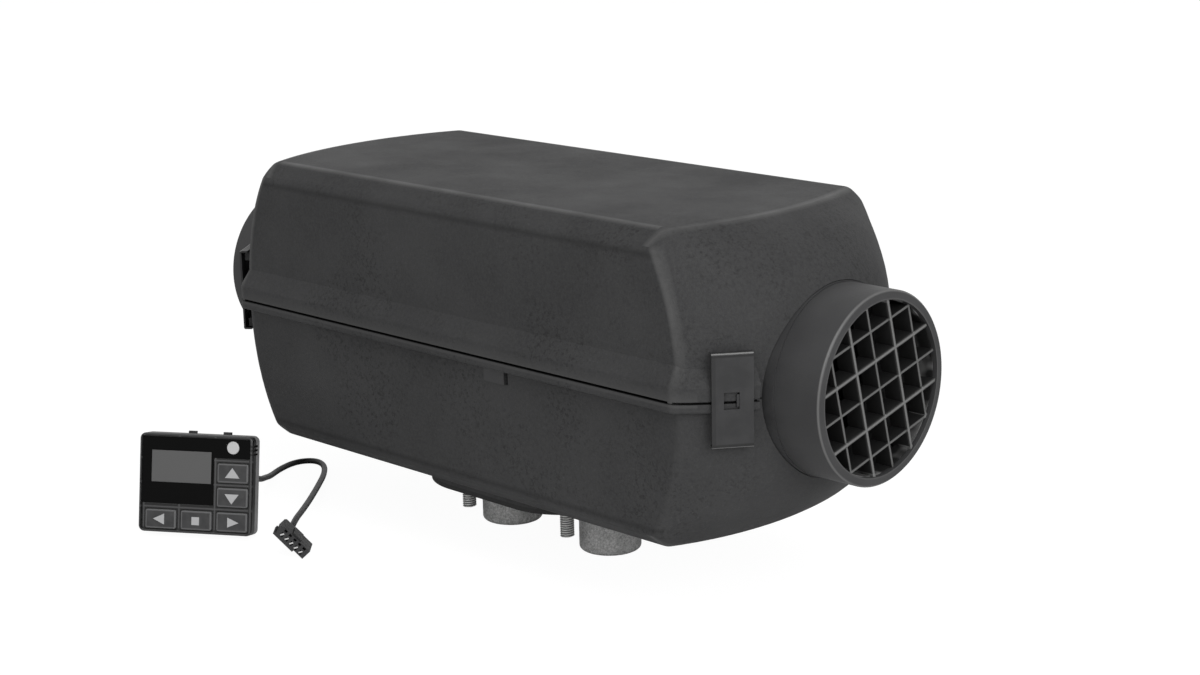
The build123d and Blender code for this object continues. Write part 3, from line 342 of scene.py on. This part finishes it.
studs = join(
    [
        threaded_stud(x, y)
        for x in (-stud_reach[0], stud_reach[0])
        for y in (-stud_reach[1], stud_reach[1])
    ],
    "stud_threads",
)
bpy.ops.object.shade_smooth_by_angle(angle=radians(40))
thread = Finish("zinc_thread", (0.60, 0.60, 0.59), 0.35, Metallic=0.7)
beside_stud = thread.along("X").size() - stud_reach[0]
before_stud = thread.along("Y").size() - stud_reach[1]
# Painted shade in the thread roots and a painted highlight on the crests, set by distance from the
# stud's axis.
crest_lit_root_shaded = beside_stud.diagonal(before_stud).rise(thread_root, thread_crest - thread_root)
thread.skin(
    colour=thread.blend(crest_lit_root_shaded, (0.05, 0.05, 0.049), (0.95, 0.95, 0.94)),
    roughness=0.30 + 0.25 * thread.cloud(900),
)
thread.on(studs)
zinc = Finish("zinc_plate", (0.52, 0.52, 0.50), 0.38, Metallic=0.9)
zinc.skin(roughness=0.30 + 0.25 * zinc.cloud(900))
zinc.on("fuel_inlet_pipe", "sensor_clip", "blower_screws", "motor_bearings", "rotor_shaft")
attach(studs, "heater")
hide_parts("mounting_studs")


# ---- Burner -----------------------------------------------------------------------------------
# Deep-drawn stainless sheet: perforated chamber, flame tube, blower cover and the gauze round the
# glow plug, which is turned. The fire colours the sheet straw and blue; a pressed fibre ring
# seals it to the casting.
burner_steel = Finish("heat_tinted_steel", (0.42, 0.38, 0.33), 0.36, Metallic=1.0)
tint = burner_steel.spread(burner_steel.cloud(35, detail=2.0), 0.38, 0.62)
burner_steel.skin(
    colour=burner_steel.blend(tint, (0.44, 0.36, 0.26), (0.30, 0.31, 0.36)),
    roughness=0.28 + 0.25 * burner_steel.cloud(400),
)
burner_steel.on("combustion_chamber", "flame_tube", "atomizer_screen", "blower_cover")

fibre = Finish("pressed_fibre", (0.22, 0.20, 0.17), 0.9)
fibre.skin(relief=fibre.cloud(2500, detail=4.0))
fibre.on("burner_gasket")

turned_brass = Finish("turned_brass", (0.62, 0.47, 0.24), 0.3, Metallic=1.0)
turned_brass.skin(roughness=0.24 + 0.2 * turned_brass.cloud(700))
turned_brass.on("glow_plug", "temperature_sensor")


# ---- Motor and wheels -------------------------------------------------------------------------
# Galvanised motor can and two moulded nylon wheels on one shaft: the outer one blows the warm
# air, the inner one feeds the burner. The control unit's case and the key switches are nylon too.
motor_can = Finish("galvanised_can", 0.40, 0.35, Metallic=0.85)
spangle = motor_can.cloud(220, detail=5.0, rough=0.65)
motor_can.skin(
    colour=motor_can.blend(motor_can.spread(spangle, 0.4, 0.62), (0.30, 0.30, 0.31), 0.46),
    roughness=0.26 + 0.3 * spangle,
)
motor_can.on("motor")

nylon = Finish("moulded_nylon", (0.035, 0.035, 0.038), 0.45)
nylon.skin(roughness=0.38 + 0.16 * nylon.cloud(300), relief=nylon.cloud(1600), depth=0.00004)
nylon.on("fan_wheel", "combustion_wheel", "control_unit", "key_switches")


# ---- Casings ----------------------------------------------------------------------------------
# Two glass-filled nylon shells with a fine spark-eroded grain, clipped together at a flange, where
# the joint is a dark line between lips with painted highlights. Handling leaves light clouds and
# dark flecks on the flats. The long ridges, the rim of the top and the corners of the ends carry
# painted highlights, and a line of painted shade runs along the foot of the long bands.
seam_level = 0.068
shell_middle = -0.001
half_height = 0.062
corner_at_seam = 0.1294
corner_fall = 0.0168
corner_bow = 2.2
corner_from = 0.0500
corner_top = 0.0545
ridge_side = 0.0530
ridge_from = 0.0570
end_rim_middle = 0.1262
end_rim_bow = 3.6
end_rim_from = 0.0560
band_foot = 0.0532
side_wall_from = 0.0600
joint_half = 0.00025
upper_lip_height = 0.0050
lower_lip_level = -0.0009


def place_on_heater(finish):
    """How far the surface lies out from the middle, across from the axis, and over the seam."""
    return (
        (finish.along("X") - shell_middle).size(),
        finish.along("Y"),
        finish.along("Z") - seam_level,
    )


casing = Finish("grained_black_nylon", (0.040, 0.040, 0.041), 0.55, Specular_IOR_Level=0.10)
grain = casing.cloud(1500, rough=0.6)
clouds = casing.spread(casing.cloud(18, detail=5.0, rough=0.62), 0.36, 0.68)
flecked = casing.spread(casing.cloud(26), 0.44, 0.62)
speckle = casing.spread(casing.cloud(820, detail=4.0, rough=0.75), 0.34, 0.66)
dark_flecks = casing.spread(casing.cloud(560, detail=4.0, rough=0.75), 0.50, 0.66) * flecked
pale_flecks = casing.spread(casing.cloud(760, rough=0.7), 0.58, 0.70) * clouds
out, across, over_seam = place_on_heater(casing)
across = across.size()
off_seam = over_seam.size()
corner = corner_at_seam - corner_fall * (off_seam / half_height) ** corner_bow
past_corner = out - corner
end_rim = end_rim_middle - end_rim_bow * across * across
more_towards_top = (0.25 + over_seam / 0.045).at_least(0.1).at_most(1.0)
# Painted highlights on the rounded corners of the ends (stronger towards the top), along the long
# ridges and along the rim of the top. The surface is also smoother there.
corner_highlight = (
    past_corner.rise(start=-0.0022, width=0.0014) * past_corner.fall(start=0.0, width=0.0032)
    * off_seam.fall(start=corner_top, width=0.0030) * across.over(corner_from)
    * more_towards_top
)
ridge_highlight = (
    across.line(ridge_side, reach=0.0018, peak=1.3) * off_seam.over(ridge_from)
    * out.under(corner)
)
top_rim_highlight = out.line(end_rim, reach=0.0028) * off_seam.over(end_rim_from)
edge_highlights = corner_highlight.at_least(ridge_highlight).at_least(top_rim_highlight) * (0.5 + 0.5 * clouds)
# Painted shade: a dark line along the foot of the long bands, where they meet the side walls.
band_foot_shade = off_seam.line(band_foot, reach=0.0018) * across.over(side_wall_from)
# Painted highlights on the flange's lips on the long sides: a pale strip that fades upwards above
# the joint, and a thin pale line under it.
upper_lip_highlight = over_seam.fall(start=0.0, width=upper_lip_height) * over_seam.over(joint_half)
lower_lip_highlight = over_seam.line(lower_lip_level, reach=0.0006, peak=1.3).at_most(0.8)
lip_highlights = upper_lip_highlight.at_least(lower_lip_highlight) * across.over(side_wall_from)
casing.skin(
    colour=casing.layers(
        casing.blend(clouds, (0.037, 0.037, 0.038), (0.048, 0.048, 0.049)),
        (speckle * 0.5, 0.060),
        (dark_flecks * 0.6, 0.016),
        (pale_flecks * 0.4, 0.085),
        (band_foot_shade * 0.5, 0.020),
        (lip_highlights, 0.064),
        (off_seam.under(joint_half), 0.002),
        # Painted highlights on the corners, ridges and rim of the top.
        (edge_highlights * 0.75, (0.125, 0.125, 0.124)),
    ),
    roughness=0.57 + 0.10 * grain - 0.10 * edge_highlights - 0.12 * clouds,
    relief=grain,
    depth=0.00009,
)
casing.on("upper_casing", "lower_casing")


# ---- Gaskets and grommet ----------------------------------------------------------------------
# Soft black rubber: the cut sheet that is clamped under the foot, and the moulded grommet that is
# pushed into the rear cable outlet.
rubber = Finish("soft_rubber", 0.014, 0.8)
rubber.skin(roughness=0.72 + 0.2 * rubber.cloud(500), relief=rubber.cloud(1800), depth=0.00006)
rubber.on("mounting_gasket", "harness_grommet")


# ---- Hoods and grilles ------------------------------------------------------------------------
# Smoother injection-moulded rings at both ends, each with its crossed guard pressed in. The front
# edges of the rims and bars carry painted highlights, and the bars are darker than the rims. The
# bore carries painted shade with a few painted reflections, and the guard's hoop has a few pale
# patches.
ring_front = 0.1752
rim_outside = 0.0375
rim_inside = 0.0338
rim_depth = 0.0010
bore_depth = 0.0012
edge_inset = 0.0003
bars_front = 0.1745
bar_highlight_depth = 0.0009
bar_pitch = 0.0118
bar_half = 0.0006
bars_turn = radians(14.5)
hoop_inside = 0.0325
hood = Finish("hood_nylon", (0.034, 0.034, 0.035), 0.45, Specular_IOR_Level=0.32)
hood_grain = hood.cloud(1900, detail=2.0)
hood_clouds = hood.spread(hood.cloud(40, detail=4.0), 0.38, 0.66)
hood_out, hood_across, hood_level = place_on_heater(hood)
hood_radius = hood_across.diagonal(hood_level)
# Painted highlights: a thin line round the outer edge of the rim's front, and a fainter, wider one
# round its inner edge.
hood_rim_highlight = hood_out.over(ring_front - rim_depth) * (
    hood_radius.line(rim_outside - edge_inset, reach=0.0005)
    + hood_radius.line(rim_inside + edge_inset, reach=0.0010, peak=0.35)
)
# Painted shade inside the bore, behind the rim.
shaded_bore = hood_radius.under(rim_inside - 0.0002) * hood_out.under(ring_front - bore_depth)
# Painted reflections: a few bright patches in the bore.
bore_gleams = hood.spread(hood.cloud(85), 0.54, 0.66) * shaded_bore
hood.skin(
    colour=hood.layers(
        hood.blend(hood_clouds, (0.034, 0.034, 0.035), (0.043, 0.043, 0.044)),
        (shaded_bore * 0.75, 0.010),
        (bore_gleams, (0.55, 0.55, 0.548)),
        (hood_rim_highlight * 0.65, (0.17, 0.17, 0.168)),
    ),
    roughness=0.40 + 0.12 * hood_grain,
    relief=hood_grain,
    depth=0.00006,
)
hood.on("outlet_hood", "inlet_hood", "harness_blanking_plug")

guard = Finish("guard_nylon", (0.030, 0.030, 0.031), 0.42, Specular_IOR_Level=0.3)
bar_highlight_noise = guard.cloud(500)
guard_out, guard_across, guard_level = place_on_heater(guard)
off_row = (guard_across * cos(bars_turn) + guard_level * sin(bars_turn)).off_step(bar_pitch)
off_column = (guard_level * cos(bars_turn) - guard_across * sin(bars_turn)).off_step(bar_pitch)
bar_middle = off_row.at_most(off_column).line(0.0, reach=bar_half, peak=1.3).at_least(0.25)
# Painted highlights along the front edges of the bars, strongest along their middles.
bar_front_highlight = guard_out.rise(start=bars_front - bar_highlight_depth, width=0.0006) * bar_middle
on_hoop = guard_across.diagonal(guard_level).over(hoop_inside)
# A few pale patches on the guard's hoop.
hoop_pale_patches = guard.spread(guard.cloud(95, detail=2.0), 0.50, 0.64) * on_hoop
guard.skin(
    colour=guard.layers(
        0.014,
        (hoop_pale_patches * 0.8, (0.20, 0.20, 0.198)),
        (bar_front_highlight * (0.75 + 0.25 * bar_highlight_noise), (0.18, 0.18, 0.178)),
    ),
    roughness=0.5 - 0.12 * bar_front_highlight,
)
guard.on("outlet_grille", "inlet_grille")


# ---- Casing clips -----------------------------------------------------------------------------
# Spring steel strip, stamped, folded over at both ends and coated black. The folds carry painted
# highlights, with painted shadow under them and along the sheared outer side.
clip_low = -0.01685
clip_high = 0.01915
clip_turn = radians(36.5)
clip_front = 0.14755
side_shadow_from = 0.0562
under_fold_depth = 0.0010
clip_coat = Finish("black_coated_spring", (0.032, 0.032, 0.033), 0.36, Specular_IOR_Level=0.35)
clip_out, clip_across, clip_level = place_on_heater(clip_coat)
clip_across = clip_across.size()
clip_forward = clip_out * cos(clip_turn) + clip_across * sin(clip_turn)
outer_edge = clip_forward.rise(start=clip_front - 0.0006, width=0.0003)
from_fold = (clip_level - clip_low).at_most(clip_high - clip_level).at_least(0.0)
# Painted highlights on the folds at both ends.
fold_highlight = from_fold.fall(start=0.0, width=0.0004) * outer_edge
# Painted shadow: a dark line just under each fold.
under_fold_shadow = from_fold.line(under_fold_depth, reach=0.0006, peak=1.3)
clip_clouds = clip_coat.spread(clip_coat.cloud(120, detail=4.0), 0.4, 0.65)
clip_coat.skin(
    colour=clip_coat.layers(
        clip_coat.blend(clip_clouds, (0.023, 0.023, 0.024), (0.032, 0.032, 0.033)),
        (under_fold_shadow * 0.75, 0.006),
        # Painted shadow along the sheared outer side.
        (clip_across.over(side_shadow_from) * 0.5, 0.010),
        ((fold_highlight * 2.0).at_most(1.0), (0.20, 0.20, 0.198)),
    ),
    roughness=0.34 + 0.14 * clip_coat.cloud(260),
)
clip_coat.on("clip_outlet_front", "clip_outlet_rear", "clip_inlet_front", "clip_inlet_rear")


# ---- Controller shells ------------------------------------------------------------------------
# Satin moulded shells that snap together round the board, with three slots in the right side. The
# face carries painted highlights in fine lines round each key and along its outer edge, with
# painted shade in a line just inside that edge and in the slots. The rear shell's right side
# carries a painted reflection. A gloss window, a grey display and a round lens are let into the
# front.
remote_turn = radians(32.1)
remote_lean = radians(13.0)
remote_side = Vector((cos(remote_turn), sin(remote_turn), 0.0))
remote_level = Vector((sin(remote_turn), -cos(remote_turn), 0.0))
remote_out = remote_level * cos(remote_lean) + Vector((0.0, 0.0, sin(remote_lean)))
remote_up = remote_out.cross(remote_side)
remote_width = 0.0521
remote_height = 0.0430
remote_corner = Vector((-0.1116, -0.1130, -0.02454)) - remote_side * (remote_width / 2)
face_from = -0.0012
shell_joint = 0.0040
side_reflection_from = remote_width - 0.0024
frame_width = 0.0011
frame_foot_width = 0.0019
slot_middle = 0.03703
slot_pitch = 0.00177
slot_half = 0.00048
slot_reach = 1.4 * slot_pitch
slot_depth = 0.0012
slot_back = -0.0057
key_width = 0.0142
key_height = 0.0084
key_spread = 0.0164
key_rise = 0.0106
first_key = (0.0103, 0.0057)
groove_from = -0.0002
groove_to = 0.0006
line_off_key = 0.0012
satin_black = (0.020, 0.020, 0.0205)


def from_corner(finish, direction):
    """How far the surface lies from the controller's corner along one of its directions."""
    along = finish.node(
        "ShaderNodeVectorMath", {0: finish.place, 1: direction},
        {"operation": "DOT_PRODUCT"}, output="Value",
    )
    return along - remote_corner.dot(direction)


def past_key(finish):
    """How far the surface lies outside the nearest key's outline; negative on the key."""
    beside_key = (from_corner(finish, remote_side) - first_key[0]).off_step(key_spread)
    above_key = (from_corner(finish, remote_up) - first_key[1]).off_step(key_rise)
    return (beside_key - key_width / 2).at_least(above_key - key_height / 2)


remote = Finish("satin_shell", satin_black, 0.36, Specular_IOR_Level=0.36)
beside = from_corner(remote, remote_side)
above = from_corner(remote, remote_up)
in_front = from_corner(remote, remote_out)
on_face = in_front.over(face_from)
off_key = past_key(remote)
off_edge = beside.at_most(remote_width - beside).at_most(above.at_most(remote_height - above))
groove = off_key.over(groove_from) * off_key.under(groove_to) * on_face
# Painted highlight: a fine pale line round each key.
key_outline_highlight = off_key.line(line_off_key, reach=0.0004, peak=1.2) * on_face
# Painted highlight along the outer edge of the face, and painted shade in a dark line just inside
# it.
frame_highlight = off_edge.under(frame_width) * on_face
frame_foot_shade = off_edge.over(frame_width) * off_edge.under(frame_foot_width) * on_face
# Painted shade in the three slots in the right side.
slot_shade = (
    (above - slot_middle).off_step(slot_pitch).under(slot_half)
    * (above - slot_middle).size().under(slot_reach)
    * beside.over(remote_width - slot_depth) * in_front.over(slot_back)
)
# Painted reflection on the rear shell's right side.
side_reflection = beside.over(side_reflection_from) * in_front.under(-shell_joint)
remote.skin(
    colour=remote.layers(
        satin_black,
        (key_outline_highlight * 0.8, (0.090, 0.090, 0.091)),
        (frame_highlight * 0.8, (0.042, 0.042, 0.043)),
        (frame_foot_shade * 0.8, 0.004),
        (groove, 0.002),
        (side_reflection, (0.24, 0.24, 0.242)),
        (slot_shade, 0.002),
    ),
    roughness=0.32 + 0.12 * remote.cloud(400),
    relief=remote.cloud(2600),
    depth=0.00003,
)
remote.on("controller_front", "controller_rear")

gloss = Finish("gloss_window", 0.003, 0.1, Specular_IOR_Level=0.06)
gloss.skin(roughness=0.06 + 0.10 * gloss.cloud(150))
gloss.on("display_window")

glass = Finish("display_grey", 0.112, 0.4, Specular_IOR_Level=0.1)
glass.skin(roughness=0.36 + 0.10 * glass.cloud(180))
glass.on("display_panel")

lamp_lens = Finish("clear_lens", 0.52, 0.25)
lamp_lens.skin(roughness=0.2 + 0.1 * lamp_lens.cloud(900))
lamp_lens.on("indicator_lens")

lacquer = Finish("green_lacquer", (0.015, 0.09, 0.035), 0.35)
lacquer.skin(roughness=0.3 + 0.15 * lacquer.cloud(500))
lacquer.on("controller_board")


# ---- Controller keys --------------------------------------------------------------------------
# Five moulded keys over the switches of the board, with painted highlights round their rims. Each
# carries a plain arrow or square in light grey, which stands on its face as thin as a print.
key_face = 0.0002
rim_width = 0.0009
sign_thickness = 0.00012
sign_edge = 0.00006

key_plastic = Finish("key_plastic", (0.036, 0.036, 0.037), 0.42, Specular_IOR_Level=0.36)
# Painted highlights round the rims of the keys.
key_rim_highlight = past_key(key_plastic).rise(start=-rim_width, width=0.0004)
key_clouds = key_plastic.spread(key_plastic.cloud(260), 0.35, 0.65)
key_plastic.skin(
    colour=key_plastic.layers(
        key_plastic.blend(key_clouds, (0.028, 0.028, 0.029), (0.043, 0.043, 0.044)),
        (key_rim_highlight * 0.8, (0.135, 0.135, 0.137)),
    ),
    roughness=0.38 + 0.12 * key_plastic.cloud(600),
    relief=key_plastic.cloud(2600),
    depth=0.00002,
)
key_plastic.on("key_up", "key_down", "key_left", "key_right", "key_ok")

symbol_ink = Finish("light_grey_ink", (0.42, 0.42, 0.425), 0.5)
symbol_ink.skin(roughness=0.45 + 0.12 * symbol_ink.cloud(900))


def stance(side, up, out, spot):
    """The matrix that stands a thing at a spot, with its x, y and z along three directions."""
    turned = Matrix((side, up, out)).transposed().to_4x4()
    turned.translation = spot
    return turned


def key_symbol(name, body, from_left, from_foot, corners, turn, width, height):
    """A flat arrow or square on a key, with its edge broken."""
    bpy.ops.object.select_all(action="DESELECT")
    bpy.ops.mesh.primitive_circle_add(vertices=corners, radius=0.5, fill_type="NGON")
    sign = bpy.context.object
    sign.name = name
    sign.rotation_euler = (0, 0, radians(turn))
    settle(sign)
    for axis, wanted in ((0, width), (1, height)):
        places = [vertex.co[axis] for vertex in sign.data.vertices]
        low, high = min(places), max(places)
        for vertex, place in zip(sign.data.vertices, places):
            vertex.co[axis] = (place - (high + low) / 2) / (high - low) * wanted
    bpy.ops.object.mode_set(mode="EDIT")
    bpy.ops.mesh.select_all(action="SELECT")
    bpy.ops.mesh.extrude_region_move(
        TRANSFORM_OT_translate={"value": (0, 0, sign_thickness)}
    )
    close_up()
    modify(sign, "BEVEL", width=sign_edge, segments=2, limit_method="ANGLE")
    spot = remote_corner + remote_side * from_left + remote_up * from_foot
    sign.matrix_world = stance(
        remote_side, remote_up, remote_out, spot + remote_out * key_face
    )
    settle(sign)
    symbol_ink.on(sign)
    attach(sign, body)


key_symbol("sign_up", "key_up_body", 0.0430, 0.0271, 3, 0, 0.0067, 0.0045)
key_symbol("sign_down", "key_down_body", 0.0429, 0.0157, 3, 180, 0.0065, 0.00435)
key_symbol("sign_left", "key_left_body", 0.0095, 0.0057, 3, 90, 0.0052, 0.0048)
key_symbol("sign_right", "key_right_body", 0.0438, 0.0056, 3, -90, 0.0052, 0.00435)
key_symbol("sign_ok", "key_ok_body", 0.0265, 0.0055, 4, 45, 0.0035, 0.0035)


# ---- Cable and plug ---------------------------------------------------------------------------
# A thin limp round lead, vinyl jacketed, out of a moulded boot, along the ground and back into
# a five-way plug with sprung terminals.
cable_diameter = 0.0027
cable_points = [
    (-0.110879, -0.084135, -0.004748),
    (-0.113700, -0.079900, -0.006000),
    (-0.1300, -0.0630, -0.0161),
    (-0.1445, -0.0490, -0.0215),
    (-0.1555, -0.0380, -0.0258),
    (-0.1622, -0.0265, -0.0261),
    (-0.1650, -0.0150, -0.0261),
    (-0.1600, -0.0078, -0.0261),
    (-0.1510, -0.0092, -0.0261),
    (-0.1398, -0.0181, -0.0261),
    (-0.1243, -0.0345, -0.0250),
    (-0.1070, -0.0528, -0.0231),
    (-0.0914, -0.0692, -0.0205),
    (-0.075288, -0.086338, -0.017421),
    (-0.066802, -0.094824, -0.017421),
]
line = bpy.data.curves.new("cable_line", "CURVE")
line.dimensions = "3D"
line.resolution_u = 8
line.bevel_depth = cable_diameter / 2
line.bevel_resolution = 4
line.use_fill_caps = True
spline = line.splines.new("NURBS")
spline.points.add(len(cable_points) - 1)
for point, spot in zip(spline.points, cable_points):
    point.co = (*spot, 1.0)
spline.order_u = 3
spline.use_endpoint_u = True
cable = bpy.data.objects.new("cable", line)
bpy.context.scene.collection.objects.link(cable)

jacket = Finish("vinyl_jacket", (0.013, 0.013, 0.0135), 0.42, Specular_IOR_Level=0.3)
jacket.skin(roughness=0.36 + 0.16 * jacket.cloud(500))
jacket.on(cable, "cable_boot")
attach(cable, "controller")
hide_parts("controller_cable")

plug_plastic = Finish("plug_plastic", (0.024, 0.024, 0.025), 0.4)
plug_plastic.skin(roughness=0.34 + 0.2 * plug_plastic.cloud(700))
plug_plastic.on("cable_connector")

tinned = Finish("tinned_terminal", (0.86, 0.86, 0.85), 0.25, Metallic=0.9)
tinned.skin(roughness=0.2 + 0.2 * tinned.cloud(900))
tinned.on("connector_terminals")


# ---- Room -------------------------------------------------------------------------------------
# A white table under even studio light, seen from the front right corner. Table and world are
# brighter to the camera than to the object, so the ground is white and still takes a shadow.
table_top = -0.02745
table_glow = 1.12
glow_share = 0.85
world_grey = 0.8
world_light = 0.45
lamps = (
    ("overhead", (0.5, -0.2, 1.3), 1.0, 5.6),
    ("front_left", (0.40, -1.20, 0.45), 0.35, 2.2),
    ("right_front", (1.3, -0.4, 0.7), 0.7, 8.8),
)
camera_turn = radians(44.87)
camera_tilt = radians(14.31)
camera_roll = radians(-1.25)
camera_place = (0.68364, -0.66159, 0.30152)

bpy.ops.object.select_all(action="DESELECT")
bpy.ops.mesh.primitive_plane_add(size=12.0, location=(0, 0, table_top))
table = bpy.context.object
table.name = "table"
table_white = Finish("table_white", 0.9, 1.0)
matt = table_white.node("ShaderNodeBsdfDiffuse", {"Color": opaque(0.9)})
glow = table_white.node("ShaderNodeEmission", {"Strength": table_glow})
seen = table_white.node("ShaderNodeMixShader", {0: glow_share, 1: matt, 2: glow})
to_camera = table_white.node("ShaderNodeLightPath", output="Is Camera Ray")
shown = table_white.node("ShaderNodeMixShader", {0: to_camera, 1: matt, 2: seen})
table_white.feed(table_white.tree.nodes["Material Output"], "Surface", shown)
table_white.on(table)

world = bpy.data.worlds.new("studio")
bpy.context.scene.world = world
world.use_nodes = True
studio = Nodes(world.node_tree)
bright = studio.node("ShaderNodeLightPath", output="Is Camera Ray")
for ray in ("Is Glossy Ray", "Is Transmission Ray"):
    bright = bright.at_least(studio.node("ShaderNodeLightPath", output=ray))
background = studio.tree.nodes["Background"]
studio.feed(background, "Color", opaque(world_grey))
studio.feed(background, "Strength", world_light + (1.0 - world_light) * bright)

for name, spot, size, power in lamps:
    lamp = bpy.data.lights.new(name, "AREA")
    lamp.size = size
    lamp.energy = power
    holder = bpy.data.objects.new(name, lamp)
    holder.location = spot
    holder.rotation_euler = (-Vector(spot)).to_track_quat("-Z", "Y").to_euler()
    bpy.context.scene.collection.objects.link(holder)

view = bpy.data.cameras.new("photograph")
view.lens = 69.31
view.sensor_width = 36.0
view.shift_x = 0.0021
level = Vector((cos(camera_turn), sin(camera_turn), 0.0))
back = Vector((
    sin(camera_turn) * cos(camera_tilt), -cos(camera_turn) * cos(camera_tilt), sin(camera_tilt)
))
upright = back.cross(level)
camera = bpy.data.objects.new("photograph", view)
camera.matrix_world = stance(
    level * cos(camera_roll) + upright * sin(camera_roll),
    upright * cos(camera_roll) - level * sin(camera_roll),
    back,
    camera_place,
)
bpy.context.scene.collection.objects.link(camera)
bpy.context.scene.camera = camera
bpy.context.scene.view_settings.view_transform = "Standard"
